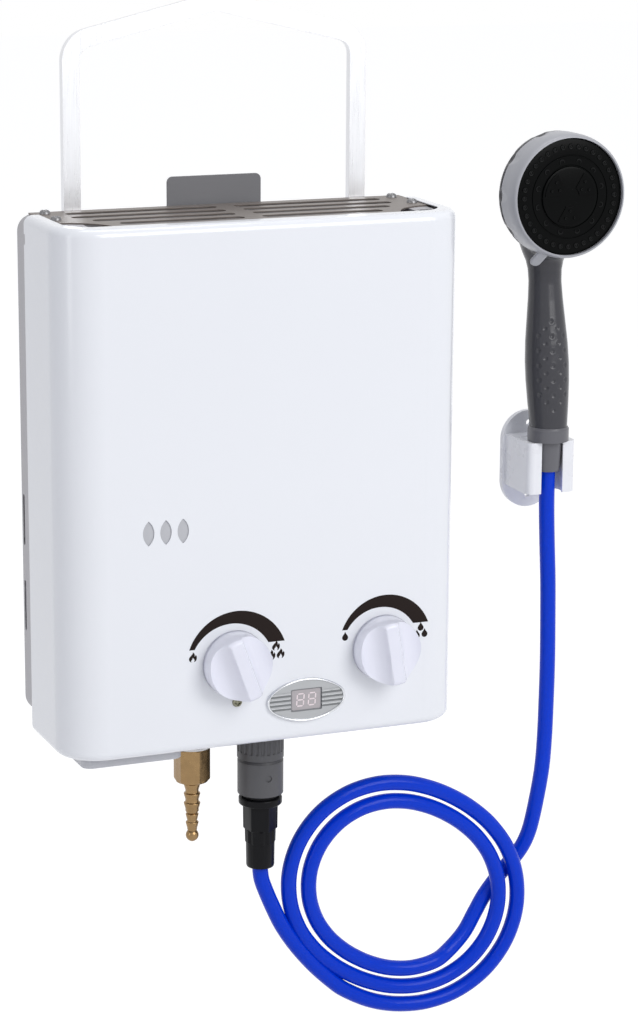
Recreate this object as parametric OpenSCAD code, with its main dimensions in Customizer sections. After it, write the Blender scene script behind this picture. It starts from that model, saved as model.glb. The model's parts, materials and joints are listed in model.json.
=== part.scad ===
// Portable propane water heater with hose, shower handset and wall holder.
// The origin is the centre of the keyhole in the hanger plate, on the wall plane y = 0.
// +Z points up, the front of the heater faces -Y and +X points to its right-hand side.

/* [Cover] */
// Width of the enamelled front cover
cover_w = 290; // [280:1:310]
// Height of the front cover
cover_h = 361; // [355:1:380]
// Depth of the front cover
cover_d = 82; // [80:1:95]
// Radius of the upright front corners
cover_corner_r = 30; // [22:1:34]
// Radius of the rolled top and bottom edges
edge_roll_r = 6; // [4:0.5:8]
// Thickness of the cover sheet
cover_t = 0.8; // [0.6:0.1:1.2]
// Width of the inward lip at the sides of the top opening
lip_side = 11; // [9:0.5:13]
// Width of the inward lip at the front of the top opening
lip_front = 14; // [11:0.5:16]
// Width of the inward hem along the bottom edge
hem_w = 9; // [7:0.5:12]

/* [Back pan and hanger] */
// Gap between the wall and the back pan, which takes the folded handle
wall_gap = 8; // [8:0.5:12]
// Depth of the pan that shows behind the cover
pan_shown = 19; // [15:1:24]
// Length of the pan's side walls that lies inside the cover
pan_lap = 9; // [6:1:12]
// Distance from the bottom of the cover up to the bottom of the pan
pan_short = 11; // [8:1:15]
// Radius of the pan's corners
pan_corner_r = 11; // [6:1:14]
// Thickness of the pan sheet
pan_t = 1; // [0.8:0.1:1.2]
// Height of the cover's top above the keyhole
top_above_keyhole = 20; // [16:1:24]
// Width of the hanger plate
hanger_w = 69; // [60:1:80]
// Height of the hanger plate above the cover
hanger_rise = 18; // [14:1:24]
// Thickness of the hanger plate
hanger_t = 1.5; // [1.2:0.1:2]
// Diameter of the keyhole's entry
keyhole_d = 10; // [8:0.5:12]
// Width of the keyhole's slot
keyhole_slot_w = 5; // [4:0.5:6]

/* [Carry handle] */
// Overall width of the carry handle
handle_w = 221; // [200:1:226]
// Height of the handle's shoulders above the cover
handle_shoulder = 103; // [90:1:120]
// Slope of the two roof-shaped grip halves in degrees
handle_slope = 13.5; // [8:0.5:18]
// Width of the handle strip
handle_strip = 12; // [10:0.5:14]
// Outer radius of the handle's shoulders
handle_bend_r = 22; // [18:1:26]
// Diameter of the handle's pivot pins
handle_pin_d = 3; // [2.5:0.1:3.4]

/* [Top grille] */
// Distance between the rows of slots
slot_pitch = 18; // [16:0.5:19]
// Width of one slot
slot_w = 9.5; // [7:0.5:11]
// Width of the bar between the left and right slots
slot_bridge = 13; // [10:1:18]
// Radius of the bitten corners of the grille plate
bite_r = 34; // [28:1:38]

/* [Controls] */
// Sideways place of the gas knob
gas_knob_x = -26; // [-32:1:-22]
// Sideways place of the water knob
water_knob_x = 84; // [80:1:88]
// Depth of the knob centres below the cover's top
knob_drop = 300.5; // [298:0.5:304]
// Diameter of a knob
knob_d = 48.5; // [44:0.5:50]
// Height of a knob above the cover
knob_h = 23; // [20:0.5:26]
// Width of the display bezel
bezel_w = 58; // [54:1:62]
// Height of the display bezel
bezel_h = 31; // [28:1:33]
// Depth of the display's centre below the cover's top
bezel_drop = 332; // [331:0.5:334]

/* [Connections] */
// Distance of the gas and water connections in front of the wall
connection_y = 55; // [52:1:60]
// Sideways place of the gas inlet
gas_inlet_x = -37.5; // [-40:0.5:-35]
// Sideways place of the hot-water outlet
outlet_x = 14; // [10:0.5:18]
// Outer diameter of the inlet's half-inch pipe thread
inlet_thread_d = 20.9; // [20.5:0.1:21]
// Length of the inlet's thread
inlet_thread_l = 14; // [12:0.5:16]
// Outer diameter of the shower hose
hose_d = 11.5; // [10:0.5:12]
// Diameter of the collar on the outlet
collar_d = 33.3; // [30:0.5:36]

/* [Handset and holder] */
// Sideways place of the handset and its wall holder
handset_x = 245; // [240:1:260]
// Distance of the hose end of the handset in front of the wall
handset_y = 36; // [34:1:40]
// Height of the wall holder's back plate
holder_h = 72.6; // [66:0.1:80]
// Width of the wall holder's back plate
holder_w = 42; // [40:1:46]
// Diameter of the handset's collar
handset_collar_d = 30; // [28:0.5:32]
// Outer diameter of the spray head
head_d = 90; // [80:1:96]
// Depth of the turning ring round the spray head
ring_depth = 21.5; // [18:0.5:24]

/* [Hidden] */
$fn = 48;

// Small amounts
cut = 0.5;
seat = 0.3;
lap_gap = 0.3;
run_gap = 0.05;
join = 0.05;

// Heights and depths that many pieces share
top_z = top_above_keyhole;
bottom_z = top_z - cover_h;
pan_y = -wall_gap;
pan_in_y = pan_y - pan_t;
cover_rear_y = pan_y - pan_shown;
cover_y = cover_rear_y - cover_d;
cover_in_y = cover_y + cover_t;
pan_w = cover_w - 2 * (cover_t + lap_gap);
pan_depth = pan_shown + pan_lap;
plate_t = 1;
plate_top = top_z - cover_t - 0.2;
plate_low = plate_top - plate_t;
pan_bottom = bottom_z + pan_short;
line_y = -connection_y;
inlet_y = line_y + 22;

// Heating section, stacked downwards from the grille
hood_h = 54;
hood_half = cover_w / 2 - 27;
hood_t = 0.8;
exchanger_half = cover_w / 2 - 50;
exchanger_h = 44;
chamber_t = 0.8;
burner_h = 50;
manifold_h = 12;
manifold_drop = 4;
valve_gap = 19.5;
gas_valve_h = 46;
pipe_d = 12.7;
pipe_gap = 2;
fire_rear_y = pan_in_y - pipe_gap - pipe_d - cut;
fire_front_y = cover_in_y + 22;
hood_low = plate_low - hood_h;
exchanger_low = hood_low - exchanger_h;
burner_low = top_z - knob_drop + gas_valve_h / 2 + valve_gap + manifold_h + manifold_drop;
chamber_low = burner_low + burner_h;
tube_z = exchanger_low + exchanger_h / 2;
wrap_x = exchanger_half + pipe_d / 2;
wrap_rear_y = fire_rear_y + pipe_d / 2;
wrap_front_y = fire_front_y - pipe_d / 2;
wrap_low_z = exchanger_low - 61;
wrap_high_z = exchanger_low - 21;
tube_rear_y = fire_rear_y - 9;
tube_front_y = fire_front_y + 9;
tube_mid_y = (tube_rear_y + tube_front_y) / 2;
tube_bend_r = (tube_rear_y - tube_mid_y) / 2;

// Controls and valves
knob_z = top_z - knob_drop;
bezel_z = top_z - bezel_drop;
bezel_x = (gas_knob_x + water_knob_x) / 2 - 2.5;
spindle_d = 10;
shaft_d = 6;
shaft_out = 18;
valve_front_y = cover_in_y + 16;
gas_valve_w = 50;
gas_valve_rear_y = line_y + 14;
water_valve_w = 40;
water_valve_h = 34;
housing_d = 56;
housing_t = 26;
rod_d = 5;
manifold_top = burner_low - manifold_drop;
floor_t = 1;
floor_z = bottom_z + 15;

// Connector stack below the outlet
collar_top = bottom_z + 9;
collar_low = bottom_z - 27;
sleeve_low = collar_low - 26.5;
ring_top = bottom_z - 56.5;
ring_low = ring_top - 5.5;
nut_low = bottom_z - 81;
hose_start = bottom_z - 109.5;
core_d = 26;
sleeve_d = collar_d - 0.6;

// Batteries: two D cells
cell_d = 34.2;
cell_l = 61.5;
box_wall = 1.8;
box_x = 54 - cover_w / 2;
box_w = 2 * cell_d + 2 * box_wall;
box_rear_y = -19;
box_depth = cell_l + 3 + 2 * box_wall;
box_low = bottom_z - 11;
box_h = cell_d + 6;

// Handset
holder_t = 4.5;
holder_mid = top_z - 201;
cradle_top = top_z - 181;
cradle_h = 38;
cradle_half = 19;
cradle_front_y = -handset_y - 8;
ferrule_d = 20;
ferrule_h = 22.5;
collar_h = 10.5;
handset_low = cradle_top + seat;
handle_low = handset_low + collar_h;
head_z = top_z - 0.7;
head_y = -62;
face_r = head_d / 2 - 3.5;
handle_lean = 6;
head_back_y = head_y + ring_depth;

// Hose route, in round numbers
lead_start = [outlet_x, line_y, hose_start];
lead_bends = [[15, -55, -461], [18.5, -55, -471], [23.5, -55, -483], [29.5, -55, -496],
    [37, -55, -508.5], [46, -55, -521], [57, -55, -534], [70, -55, -547], [81, -55, -556]];
coil_centre = [123.5, -55, -484];
coil_first_deg = -105;
coil_last_deg = 655;
hose_end = 3;
coil_start_r = 94;
coil_pitch = 14.6;
coil_stretch = 0.107;
coil_stretch_deg = -33;
coil_rings_per_loop = 24;
exit_bends = [[164, -50.5, -540], [179, -47, -528.5], [189, -44.5, -515], [198, -43, -502],
    [212, -42.3, -486], [225, -42, -473], [232.5, -41.8, -461]];
riser_start = [237.5, -41.5, -444.5];
riser_end_dir = [5.5, 0.4, 28];
riser_bends = [[243.5, -41, -413], [246, -40, -388], [247, -39.5, -357], [247.5, -39, -327],
    [247.5, -38, -296], [247, -37.5, -266], [246, -36.5, -236], [245.3, -36, -212]];
riser_end = [handset_x, -handset_y, handset_low - ferrule_h];

// ---------------------------------------------------------------- helpers

// A flat outline drawn in X and Z, given a thickness towards the viewer
module upright(rear_y, t) {
    translate([0, rear_y, 0]) rotate([90, 0, 0]) linear_extrude(t) children();
}

// A cylinder along Y from rear_y towards the viewer
module y_rod(x, z, rear_y, length, d) {
    translate([x, rear_y, z]) rotate([90, 0, 0]) cylinder(h = length, d = d);
}

// A cylinder along X from left_x to the right
module x_rod(left_x, y, z, length, d) {
    translate([left_x, y, z]) rotate([0, 90, 0]) cylinder(h = length, d = d);
}

// A block between two opposite corners
module block(a, b) {
    translate([min(a.x, b.x), min(a.y, b.y), min(a.z, b.z)])
        cube([abs(b.x - a.x), abs(b.y - a.y), abs(b.z - a.z)]);
}

// A rectangle with true round corners, centred
module round_rect(w, h, r) {
    square([w, h - 2 * r], center = true);
    square([w - 2 * r, h], center = true);
    for (sx = [-1, 1], sz = [-1, 1])
        translate([sx * (w / 2 - r), sz * (h / 2 - r)]) circle(r);
}

// An outline with semicircular ends, lying along X
module long_hole(length, w) {
    square([length - w, w], center = true);
    for (s = [-1, 1]) translate([s * (length - w) / 2, 0]) circle(d = w);
}

// A round pipe along straight runs, with a ball at each elbow
module pipe_run(points, d) {
    for (i = [0 : len(points) - 2]) {
        step = points[i + 1] - points[i];
        length = norm(step);
        translate(points[i])
            rotate([0, acos(step.z / length), atan2(step.y, step.x)])
                cylinder(h = length, d = d);
        if (i > 0) translate(points[i]) sphere(d = d);
    }
}

// A pan-head screw that points down, its head resting on z = 0
module pan_screw(head_d, head_h, shank_d, shank_l) {
    dome_r = (pow(head_d / 2, 2) + head_h * head_h) / (2 * head_h);
    intersection() {
        translate([0, 0, head_h - dome_r]) sphere(dome_r);
        cylinder(h = head_h, d = head_d);
    }
    translate([0, 0, -shank_l]) cylinder(h = shank_l + cut / 2, d = shank_d);
}

// ---------------------------------------------------------------- swept tubes

function unit(v) = v / norm(v);
function ring_frame(dir) =
    let (side = unit(cross(dir, abs(dir.y) < 0.9 ? [0, 1, 0] : [1, 0, 0])))
    [side, cross(dir, side)];
function point_dir(path, i) =
    i == 0 ? unit(path[1] - path[0])
    : i == len(path) - 1 ? unit(path[i] - path[i - 1])
    : unit(unit(path[i + 1] - path[i]) + unit(path[i] - path[i - 1]));
function tube_ring(path, i, r, sides) =
    let (f = ring_frame(point_dir(path, i)))
    [for (k = [0 : sides - 1])
        path[i] + r * (cos(k * 360 / sides) * f[0] + sin(k * 360 / sides) * f[1])];

// A closed tube of flat facets along a path of points
module swept_tube(path, d, sides) {
    rings = [for (i = [0 : len(path) - 1]) each tube_ring(path, i, d / 2, sides)];
    last = (len(path) - 1) * sides;
    skin = [for (i = [0 : len(path) - 2], k = [0 : sides - 1])
        let (a = i * sides + k, b = i * sides + (k + 1) % sides)
        each [[a, a + sides, b], [b, a + sides, b + sides]]];
    start_cap = [for (k = [1 : sides - 2]) [0, k, k + 1]];
    end_cap = [for (k = [1 : sides - 2]) [last, last + k + 1, last + k]];
    polyhedron(points = rings, faces = concat(skin, start_cap, end_cap), convexity = 10);
}

// The coil: a flat spiral of hose, stretched along one diagonal as it lies
function coil_r(deg) =
    (coil_start_r - coil_pitch * (deg - coil_first_deg) / 360)
        * (1 + coil_stretch * cos(2 * (deg - coil_stretch_deg)));
function coil_point(deg) =
    coil_centre + coil_r(deg) * [cos(deg), 0, sin(deg)];
coil_start_dir = unit(coil_point(coil_first_deg + 1) - coil_point(coil_first_deg));
coil_start = coil_point(coil_first_deg) - hose_d * coil_start_dir;
coil_step = 360 / coil_rings_per_loop;
exit_dir = unit(riser_end_dir);
exit_end = riser_start - hose_d * exit_dir;
coil_path = concat(
    [coil_start],
    [for (deg = [coil_first_deg : coil_step : coil_last_deg - coil_step / 2]) coil_point(deg)],
    exit_bends,
    [exit_end, riser_start]);
lead_path = concat([lead_start, lead_start - [0, 0, hose_end]], lead_bends, [coil_start - hose_end * coil_start_dir, coil_start]);
riser_path = concat([riser_start, riser_start + hose_d * exit_dir], riser_bends,
    [riser_end - [0, 0, hose_d], riser_end]);

// Least distance between stretches of the coil that are half a loop or more apart
coil_gap = min([for (i = [0 : len(coil_path) - 2], j = [i + 12 : 1 : len(coil_path) - 2])
    segment_gap(coil_path[i], coil_path[i + 1], coil_path[j], coil_path[j + 1])]) - hose_d;
function segment_gap(a, b, c, d) =
    min([for (s = [0, 0.25, 0.5, 0.75, 1], t = [0, 0.25, 0.5, 0.75, 1])
        norm(a + s * (b - a) - c - t * (d - c))]);
echo(least_gap_between_coil_loops_mm = coil_gap);

// ---------------------------------------------------------------- casing

// Section through the cover's sheet: x is the distance inwards, y the height
module cover_section() {
    translate([0, edge_roll_r]) square([cover_t, cover_h - 2 * edge_roll_r]);
    for (up = [0, 1])
        translate([edge_roll_r, up * (cover_h - 2 * edge_roll_r) + edge_roll_r])
            intersection() {
                difference() {
                    circle(edge_roll_r);
                    circle(edge_roll_r - cover_t);
                }
                translate([-edge_roll_r, up ? 0 : -edge_roll_r]) square(edge_roll_r);
            }
    translate([edge_roll_r, 0]) square([hem_w - edge_roll_r, cover_t]);
    translate([edge_roll_r, cover_h - cover_t]) square([hem_w - edge_roll_r, cover_t]);
}

// The cover's sheet bent round the front of the heater
module cover_shell() {
    side_l = cover_d - cover_corner_r;
    front_l = cover_w - 2 * cover_corner_r;
    translate([0, 0, bottom_z]) {
        for (sx = [-1, 1]) {
            translate([sx * cover_w / 2, cover_rear_y, 0])
                rotate([90, 0, 0]) mirror([sx > 0 ? 1 : 0, 0, 0])
                    linear_extrude(side_l) cover_section();
            translate([sx * (cover_w / 2 - cover_corner_r), cover_y + cover_corner_r, 0])
                rotate([0, 0, sx > 0 ? -90 : 180])
                    rotate_extrude(angle = 90)
                        translate([cover_corner_r, 0]) mirror([1, 0]) cover_section();
        }
        translate([-front_l / 2, cover_y, 0])
            rotate([90, 0, 90]) linear_extrude(front_l) cover_section();
    }
}

// Lip round the top opening, wider at the front than at the sides
module top_lip() {
    inner_r = cover_corner_r - lip_side;
    open_w = cover_w - 2 * lip_side;
    translate([0, 0, top_z - cover_t])
        linear_extrude(cover_t)
            difference() {
                translate([0, cover_rear_y - cover_d / 2])
                    intersection() {
                        translate([0, cover_corner_r])
                            round_rect(cover_w - 2 * edge_roll_r,
                                cover_d - 2 * edge_roll_r + 2 * cover_corner_r,
                                cover_corner_r - edge_roll_r);
                        square([cover_w, cover_d], center = true);
                    }
                translate([0, cover_y + lip_front + cover_d])
                    round_rect(open_w, 2 * cover_d, inner_r);
            }
}

// One leaf-shaped inspection window, pointed at both ends
module leaf_window() {
    leaf_r = 11;
    intersection() {
        translate([-leaf_r + 4, 0]) circle(leaf_r);
        translate([leaf_r - 4, 0]) circle(leaf_r);
    }
}

leaf_x = 70.5 - cover_w / 2;
leaf_pitch = 12.2;
leaf_z = top_z - 205;

module front_cover() {
    color("white")
    difference() {
        union() {
            cover_shell();
            top_lip();
        }
        for (i = [-1 : 1])
            translate([leaf_x + i * leaf_pitch, 0, leaf_z]) upright(cover_y + 5, 10) leaf_window();
        for (x = [gas_knob_x, water_knob_x]) y_rod(x, knob_z, cover_y + 5, 10, shaft_d + 6);
        translate([bezel_x, 0, bezel_z]) upright(cover_y + 5, 10)
            round_rect(window_w + 6, window_h + 4, 2);
        y_rod(cover_screw_x, cover_screw_z, cover_y + 5, 10, screw_d + 0.4);
        for (sx = [-1, 1])
            translate([sx * cover_w / 2, cover_rear_y, top_z - 16])
                cube([6, 5, 7], center = true);
    }
}

module back_pan() {
    pan_h = top_z - (top_z - plate_low) - pan_bottom;
    mid_z = (plate_low + pan_bottom) / 2;
    color("silver")
    difference() {
        translate([0, 0, mid_z]) {
            upright(pan_y, pan_t) round_rect(pan_w, pan_h, pan_corner_r);
            upright(pan_y, pan_depth) difference() {
                round_rect(pan_w, pan_h, pan_corner_r);
                round_rect(pan_w - 2 * pan_t, pan_h - 2 * pan_t, pan_corner_r - pan_t);
            }
        }
        block([-hood_half - 2, pan_in_y, plate_low + cut], [hood_half + 2, pan_y - 40, plate_low - 5]);
        for (sx = [-1, 1], z = [pan_bottom + 138, pan_bottom + 77])
            translate([sx * pan_w / 2, pan_y - 4.5, z]) rotate([0, 90, 0])
                linear_extrude(4, center = true) long_hole(36, 3.6);
        for (sx = [-1, 1])
            translate([sx * rear_screw_x, rear_screw_y, plate_low]) cylinder(h = 8, d = screw_d + 0.2,
                center = true);
        block([box_x - box_w / 2 - seat, pan_y + 1, pan_bottom - 1],
            [110, pan_y - 40, pan_bottom + 1.5]);
    }
}

hanger_top = top_z + hanger_rise;
hanger_step_z = -26;
hanger_foot_h = 16;
rivet_d = 4;
foot_w = 60;

// Hanger plate: flat against the wall, stepped forward to a foot on the pan
module hanger_plate() {
    step_h = 6;
    foot_low = hanger_step_z - step_h - hanger_foot_h;
    color("dimgray")
    difference() {
        union() {
            translate([0, 0, (hanger_top + hanger_step_z) / 2])
                upright(0, hanger_t) round_rect(hanger_w, hanger_top - hanger_step_z, 4);
            translate([-hanger_w / 2, 0, 0]) rotate([90, 0, 90]) linear_extrude(hanger_w)
                polygon([[0, hanger_step_z + 6], [-hanger_t, hanger_step_z + 6],
                    [-wall_gap, hanger_step_z - step_h + 2], [-wall_gap, foot_low],
                    [-wall_gap + hanger_t, foot_low], [-wall_gap + hanger_t, hanger_step_z - step_h],
                    [0, hanger_step_z]]);
        }
        y_rod(0, 0, 1, hanger_t + 2, keyhole_d);
        translate([0, 0, keyhole_d / 2 + 2]) upright(1, hanger_t + 2)
            rotate(90) long_hole(keyhole_d + 6, keyhole_slot_w);
        for (sx = [-1, 1])
            y_rod(sx * hanger_w / 3, foot_low + hanger_foot_h / 2 - 1, 1, wall_gap + 2, rivet_d + 0.2);
    }
}

// Lower spacer that keeps the heater parallel to the wall
module lower_spacer() {
    low = pan_bottom + 10;
    high = low + 34;
    color("dimgray")
    difference() {
        translate([-foot_w / 2, 0, 0]) rotate([90, 0, 90]) linear_extrude(foot_w)
            polygon([[-wall_gap, high], [-wall_gap, high - 14], [-hanger_t, high - 20], [-hanger_t, low],
                [0, low], [0, high - 20], [-wall_gap + hanger_t, high - 13.4],
                [-wall_gap + hanger_t, high]]);
        for (sx = [-1, 1])
            y_rod(sx * foot_w / 3, high - 6, 1, wall_gap + 2, rivet_d + 0.2);
    }
}

// Rivets that hold the hanger plate and the lower spacer on the pan
module hanger_rivets() {
    hanger_z = hanger_step_z - 6 - hanger_foot_h / 2 - 1;
    spacer_z = pan_bottom + 38;
    color("silver")
    for (sx = [-1, 1], row = [[hanger_w / 3, hanger_z], [foot_w / 3, spacer_z]]) {
        y_rod(sx * row[0], row[1], pan_y + hanger_t + 1.2, 1.2, rivet_d + 3);
        y_rod(sx * row[0], row[1], pan_y + hanger_t + cut, hanger_t + cut, rivet_d);
    }
}

rear_screw_x = cover_w / 2 - 18;
rear_screw_y = pan_y - 9;
front_screw_x = cover_w / 2 - 16;
front_screw_y = pan_y - 40;
screw_d = 3.6;
slot_first_y = pan_y - 15.5;
slot_ends = [for (in = [30, 29, 38, 51]) cover_w / 2 - in];

module top_grille() {
    half = cover_w / 2 - lip_side + 2;
    front_y = cover_y + lip_front - 2;
    rear_y = pan_y - cut;
    color("tan")
    translate([0, 0, plate_low])
        difference() {
            block([-half, rear_y, 0], [half, front_y, plate_t]);
            for (sx = [-1, 1]) {
                translate([sx * half, front_y, -1]) cylinder(h = plate_t + 2, r = bite_r);
                translate([sx * rear_screw_x, rear_screw_y, -1]) cylinder(h = 3, d = screw_d + 0.4);
                translate([sx * front_screw_x, front_screw_y, -1]) cylinder(h = 3, d = screw_d + 0.4);
                for (row = [0 : 3]) {
                    length = slot_ends[row] - slot_bridge / 2;
                    translate([sx * (slot_ends[row] - length / 2), slot_first_y - row * slot_pitch, -1])
                        linear_extrude(plate_t + 2) long_hole(length, slot_w);
                }
            }
        }
}

module grille_screws() {
    color("silver")
    for (sx = [-1, 1]) {
        translate([sx * rear_screw_x, rear_screw_y, plate_top]) pan_screw(7.6, 2.8, screw_d, 8);
        translate([sx * front_screw_x, front_screw_y, plate_top]) pan_screw(7.6, 2.8, screw_d, 8);
    }
}

cover_screw_x = gas_knob_x + 2;
cover_screw_head = 7;
cover_screw_z = knob_z - (knob_d + cover_screw_head) / 2 - seat;

// Screw below the gas knob that holds the cover on the valve's bracket
module cover_screw() {
    color("darkkhaki")
    translate([cover_screw_x, cover_y, cover_screw_z]) rotate([90, 0, 0])
        pan_screw(cover_screw_head, 2.6, screw_d, 12);
}

module bottom_plate() {
    half = cover_w / 2 - cover_t - lap_gap - 1;
    front_y = cover_in_y + 1;
    color("gainsboro")
    difference() {
        union() {
            intersection() {
                block([-half, pan_in_y, floor_z], [half, front_y, floor_z - floor_t]);
                translate([0, front_y + cover_d, floor_z - 2]) linear_extrude(4)
                    round_rect(2 * half, 2 * cover_d, cover_corner_r - cover_t - lap_gap - 1);
            }
            block([-half + 20, pan_in_y, floor_z], [half - 20, pan_in_y - floor_t, floor_z + 12]);
        }
        translate([gas_inlet_x, line_y, floor_z]) cylinder(h = 6, d = gas_thread_d + 0.6, center = true);
        translate([outlet_x, line_y, floor_z]) cylinder(h = 6, d = inlet_thread_d + 0.6, center = true);
        translate([water_knob_x, inlet_y, floor_z]) cylinder(h = 6, d = inlet_thread_d + 0.6,
            center = true);
        for (sx = [-1, 1])
            block([sx * (pan_w / 2 - pan_corner_r), pan_in_y + 1, floor_z + 1],
                [sx * (half + 1), pan_y - pan_depth - seat, floor_z - floor_t - 1]);
        block([box_x - box_w / 2 - seat, box_rear_y + seat, floor_z + 2],
            [box_x + box_w / 2 + seat, box_rear_y - box_depth - seat, floor_z - 3]);
    }
}

// ---------------------------------------------------------------- heating section

// Draught hood between the heat exchanger and the grille
module flue_hood() {
    rear_y = pan_in_y;
    front_y = fire_front_y - 4;
    flange_half = front_screw_x + 4;
    color("lightgray")
    difference() {
        union() {
            block([-hood_half, rear_y, plate_low], [hood_half, front_y, hood_low]);
            block([-flange_half, pan_y - pan_depth - 1, plate_low],
                [flange_half, front_y, plate_low - hood_t]);
        }
        block([-hood_half + hood_t, rear_y - hood_t, plate_low + 1],
            [hood_half - hood_t, front_y + hood_t, hood_low + hood_t]);
        block([-exchanger_half + 2, fire_rear_y - 2, hood_low + 2],
            [exchanger_half - 2, fire_front_y + 2, hood_low - 1]);
        for (sx = [-1, 1]) {
            translate([sx * front_screw_x, front_screw_y, plate_low]) cylinder(h = 6,
                d = screw_d + 0.2, center = true);
            block([sx * flange_half * 1.1, fire_front_y - 20, plate_low + 1],
                [sx * (hood_half + 2), front_y + 14, plate_low - 3]);
        }
    }
}

// Finned block of the heat exchanger, with end plates
module heat_exchanger() {
    fins = 15;
    fin_t = 0.8;
    end_t = 1.5;
    pitch = (2 * exchanger_half - end_t) / (fins + 1);
    color("peru")
    difference() {
        union() {
            for (i = [0 : fins + 1]) {
                t = i == 0 || i == fins + 1 ? end_t : fin_t;
                x = -exchanger_half + end_t / 2 + i * pitch;
                block([x - t / 2, fire_rear_y - end_t, exchanger_low + 4],
                    [x + t / 2, fire_front_y + end_t, hood_low - 4]);
            }
            for (sx = [-1, 1])
                block([sx * exchanger_half, fire_rear_y, exchanger_low],
                    [sx * (exchanger_half - end_t), fire_front_y, hood_low]);
            for (y = [fire_rear_y, fire_front_y + end_t])
                block([-exchanger_half, y, exchanger_low], [exchanger_half, y - end_t, hood_low]);
        }
        for (y = [tube_rear_y, tube_mid_y, tube_front_y])
            x_rod(-exchanger_half - 1, y, tube_z, 2 * exchanger_half + 2, pipe_d + 0.1);
    }
}

// Three water tubes through the fins, joined by return bends
module exchanger_tubes() {
    bend_x = exchanger_half + 3;
    color("chocolate") {
        for (y = [tube_rear_y, tube_mid_y, tube_front_y])
            x_rod(-bend_x, y, tube_z, 2 * bend_x, pipe_d);
        for (side = [[-1, tube_front_y + tube_bend_r], [1, tube_mid_y + tube_bend_r]])
            translate([side[0] * bend_x, side[1], tube_z])
                rotate([0, 0, side[0] > 0 ? -90 : 90])
                    rotate_extrude(angle = 180) translate([tube_bend_r, 0]) circle(d = pipe_d);
    }
}

module combustion_chamber() {
    color("peru")
    difference() {
        block([-exchanger_half, fire_rear_y, exchanger_low], [exchanger_half, fire_front_y, chamber_low]);
        block([-exchanger_half + chamber_t, fire_rear_y - chamber_t, exchanger_low + 1],
            [exchanger_half - chamber_t, fire_front_y + chamber_t, chamber_low - 1]);
    }
}

// Water pipe that goes twice round the combustion chamber
module chamber_pipe() {
    climb_y = tube_mid_y + 6;
    color("chocolate")
    pipe_run([[wrap_x + 12, wrap_rear_y, wrap_low_z], [-wrap_x, wrap_rear_y, wrap_low_z],
        [-wrap_x, wrap_front_y, wrap_low_z], [wrap_x, wrap_front_y, wrap_low_z],
        [wrap_x, climb_y, wrap_low_z], [wrap_x, climb_y, wrap_high_z],
        [wrap_x, wrap_rear_y, wrap_high_z], [-wrap_x, wrap_rear_y, wrap_high_z],
        [-wrap_x, wrap_front_y, wrap_high_z], [wrap_x + 14, wrap_front_y, wrap_high_z],
        [wrap_x + 14, tube_front_y, wrap_high_z], [wrap_x + 14, tube_front_y, tube_z],
        [exchanger_half + 3, tube_front_y, tube_z]], pipe_d);
}

// Hot pipe from the heat exchanger down to the outlet
module hot_pipe() {
    side_x = -wrap_x - 21;
    level_z = burner_low + 30;
    color("chocolate")
    difference() {
        union() {
            pipe_run([[-exchanger_half - 3, tube_rear_y, tube_z], [side_x, tube_rear_y, tube_z],
                [side_x, wrap_rear_y, tube_z], [side_x, wrap_rear_y, level_z],
                [outlet_x, wrap_rear_y, level_z], [outlet_x, wrap_rear_y, floor_z + 12],
                [outlet_x, line_y, floor_z + 12], [outlet_x, line_y, floor_z]], pipe_d);
            translate([outlet_x, line_y, collar_top - 12]) cylinder(h = floor_z - collar_top + 12,
                d = inlet_thread_d);
            translate([outlet_x, line_y, floor_z]) cylinder(h = 3, d = 27, $fn = 6);
        }
        translate([outlet_x, line_y, collar_top - 13]) cylinder(h = 22, d = 9);
    }
}

// Cold pipe from the water valve up to the combustion chamber's pipe
module cold_pipe() {
    start_z = knob_z + water_valve_h / 2;
    turn_z = start_z + 10;
    valve_y = line_y + 10;
    color("chocolate")
    pipe_run([[water_knob_x, valve_y, start_z], [water_knob_x, valve_y, turn_z],
        [water_knob_x, wrap_rear_y, turn_z], [wrap_x + 20, wrap_rear_y, turn_z],
        [wrap_x + 20, wrap_rear_y, wrap_low_z], [wrap_x + 12, wrap_rear_y, wrap_low_z]], pipe_d);
}

// Sheet box that carries the burner bars and the manifold
module burner_box() {
    rail = 4;
    wall_low = manifold_top - manifold_h;
    color("lightgray") {
        difference() {
            block([-exchanger_half, fire_rear_y, chamber_low], [exchanger_half, fire_front_y, burner_low]);
            block([-exchanger_half + chamber_t, fire_rear_y - chamber_t, chamber_low + 1],
                [exchanger_half - chamber_t, fire_front_y + chamber_t, burner_low - 1]);
        }
        for (sx = [-1, 1])
            block([sx * exchanger_half, manifold_y + 9, burner_low],
                [sx * (exchanger_half - chamber_t), manifold_y - 9, wall_low]);
        for (y = [fire_rear_y - chamber_t, fire_front_y + chamber_t + rail])
            block([-exchanger_half + chamber_t, y, burner_low + 10],
                [exchanger_half - chamber_t, y - rail, burner_low + 11]);
    }
}

bar_count = 7;
bar_pitch = 2 * exchanger_half / (bar_count + 0.6);
manifold_y = tube_mid_y;

// Burner bars: upright castings with flame slots along the top
module burner_bars() {
    bar_w = 12;
    bar_z = burner_low + 11;
    rear_y = fire_rear_y - chamber_t - seat;
    front_y = fire_front_y + chamber_t + seat;
    color("slategray")
    for (i = [0 : bar_count - 1]) {
        x = (i - (bar_count - 1) / 2) * bar_pitch;
        difference() {
            union() {
                block([x - bar_w / 2, rear_y, bar_z], [x + bar_w / 2, front_y, bar_z + 30]);
                translate([x, manifold_y, burner_low + 4]) cylinder(h = 8, d = 14);
            }
            for (sx = [-1, 1])
                block([x + sx * 2, rear_y - 3, bar_z + 22], [x + sx * 3.5, front_y + 3, bar_z + 31]);
            translate([x, manifold_y, burner_low + 3]) cylinder(h = 14, d = 10);
        }
    }
}

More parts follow.
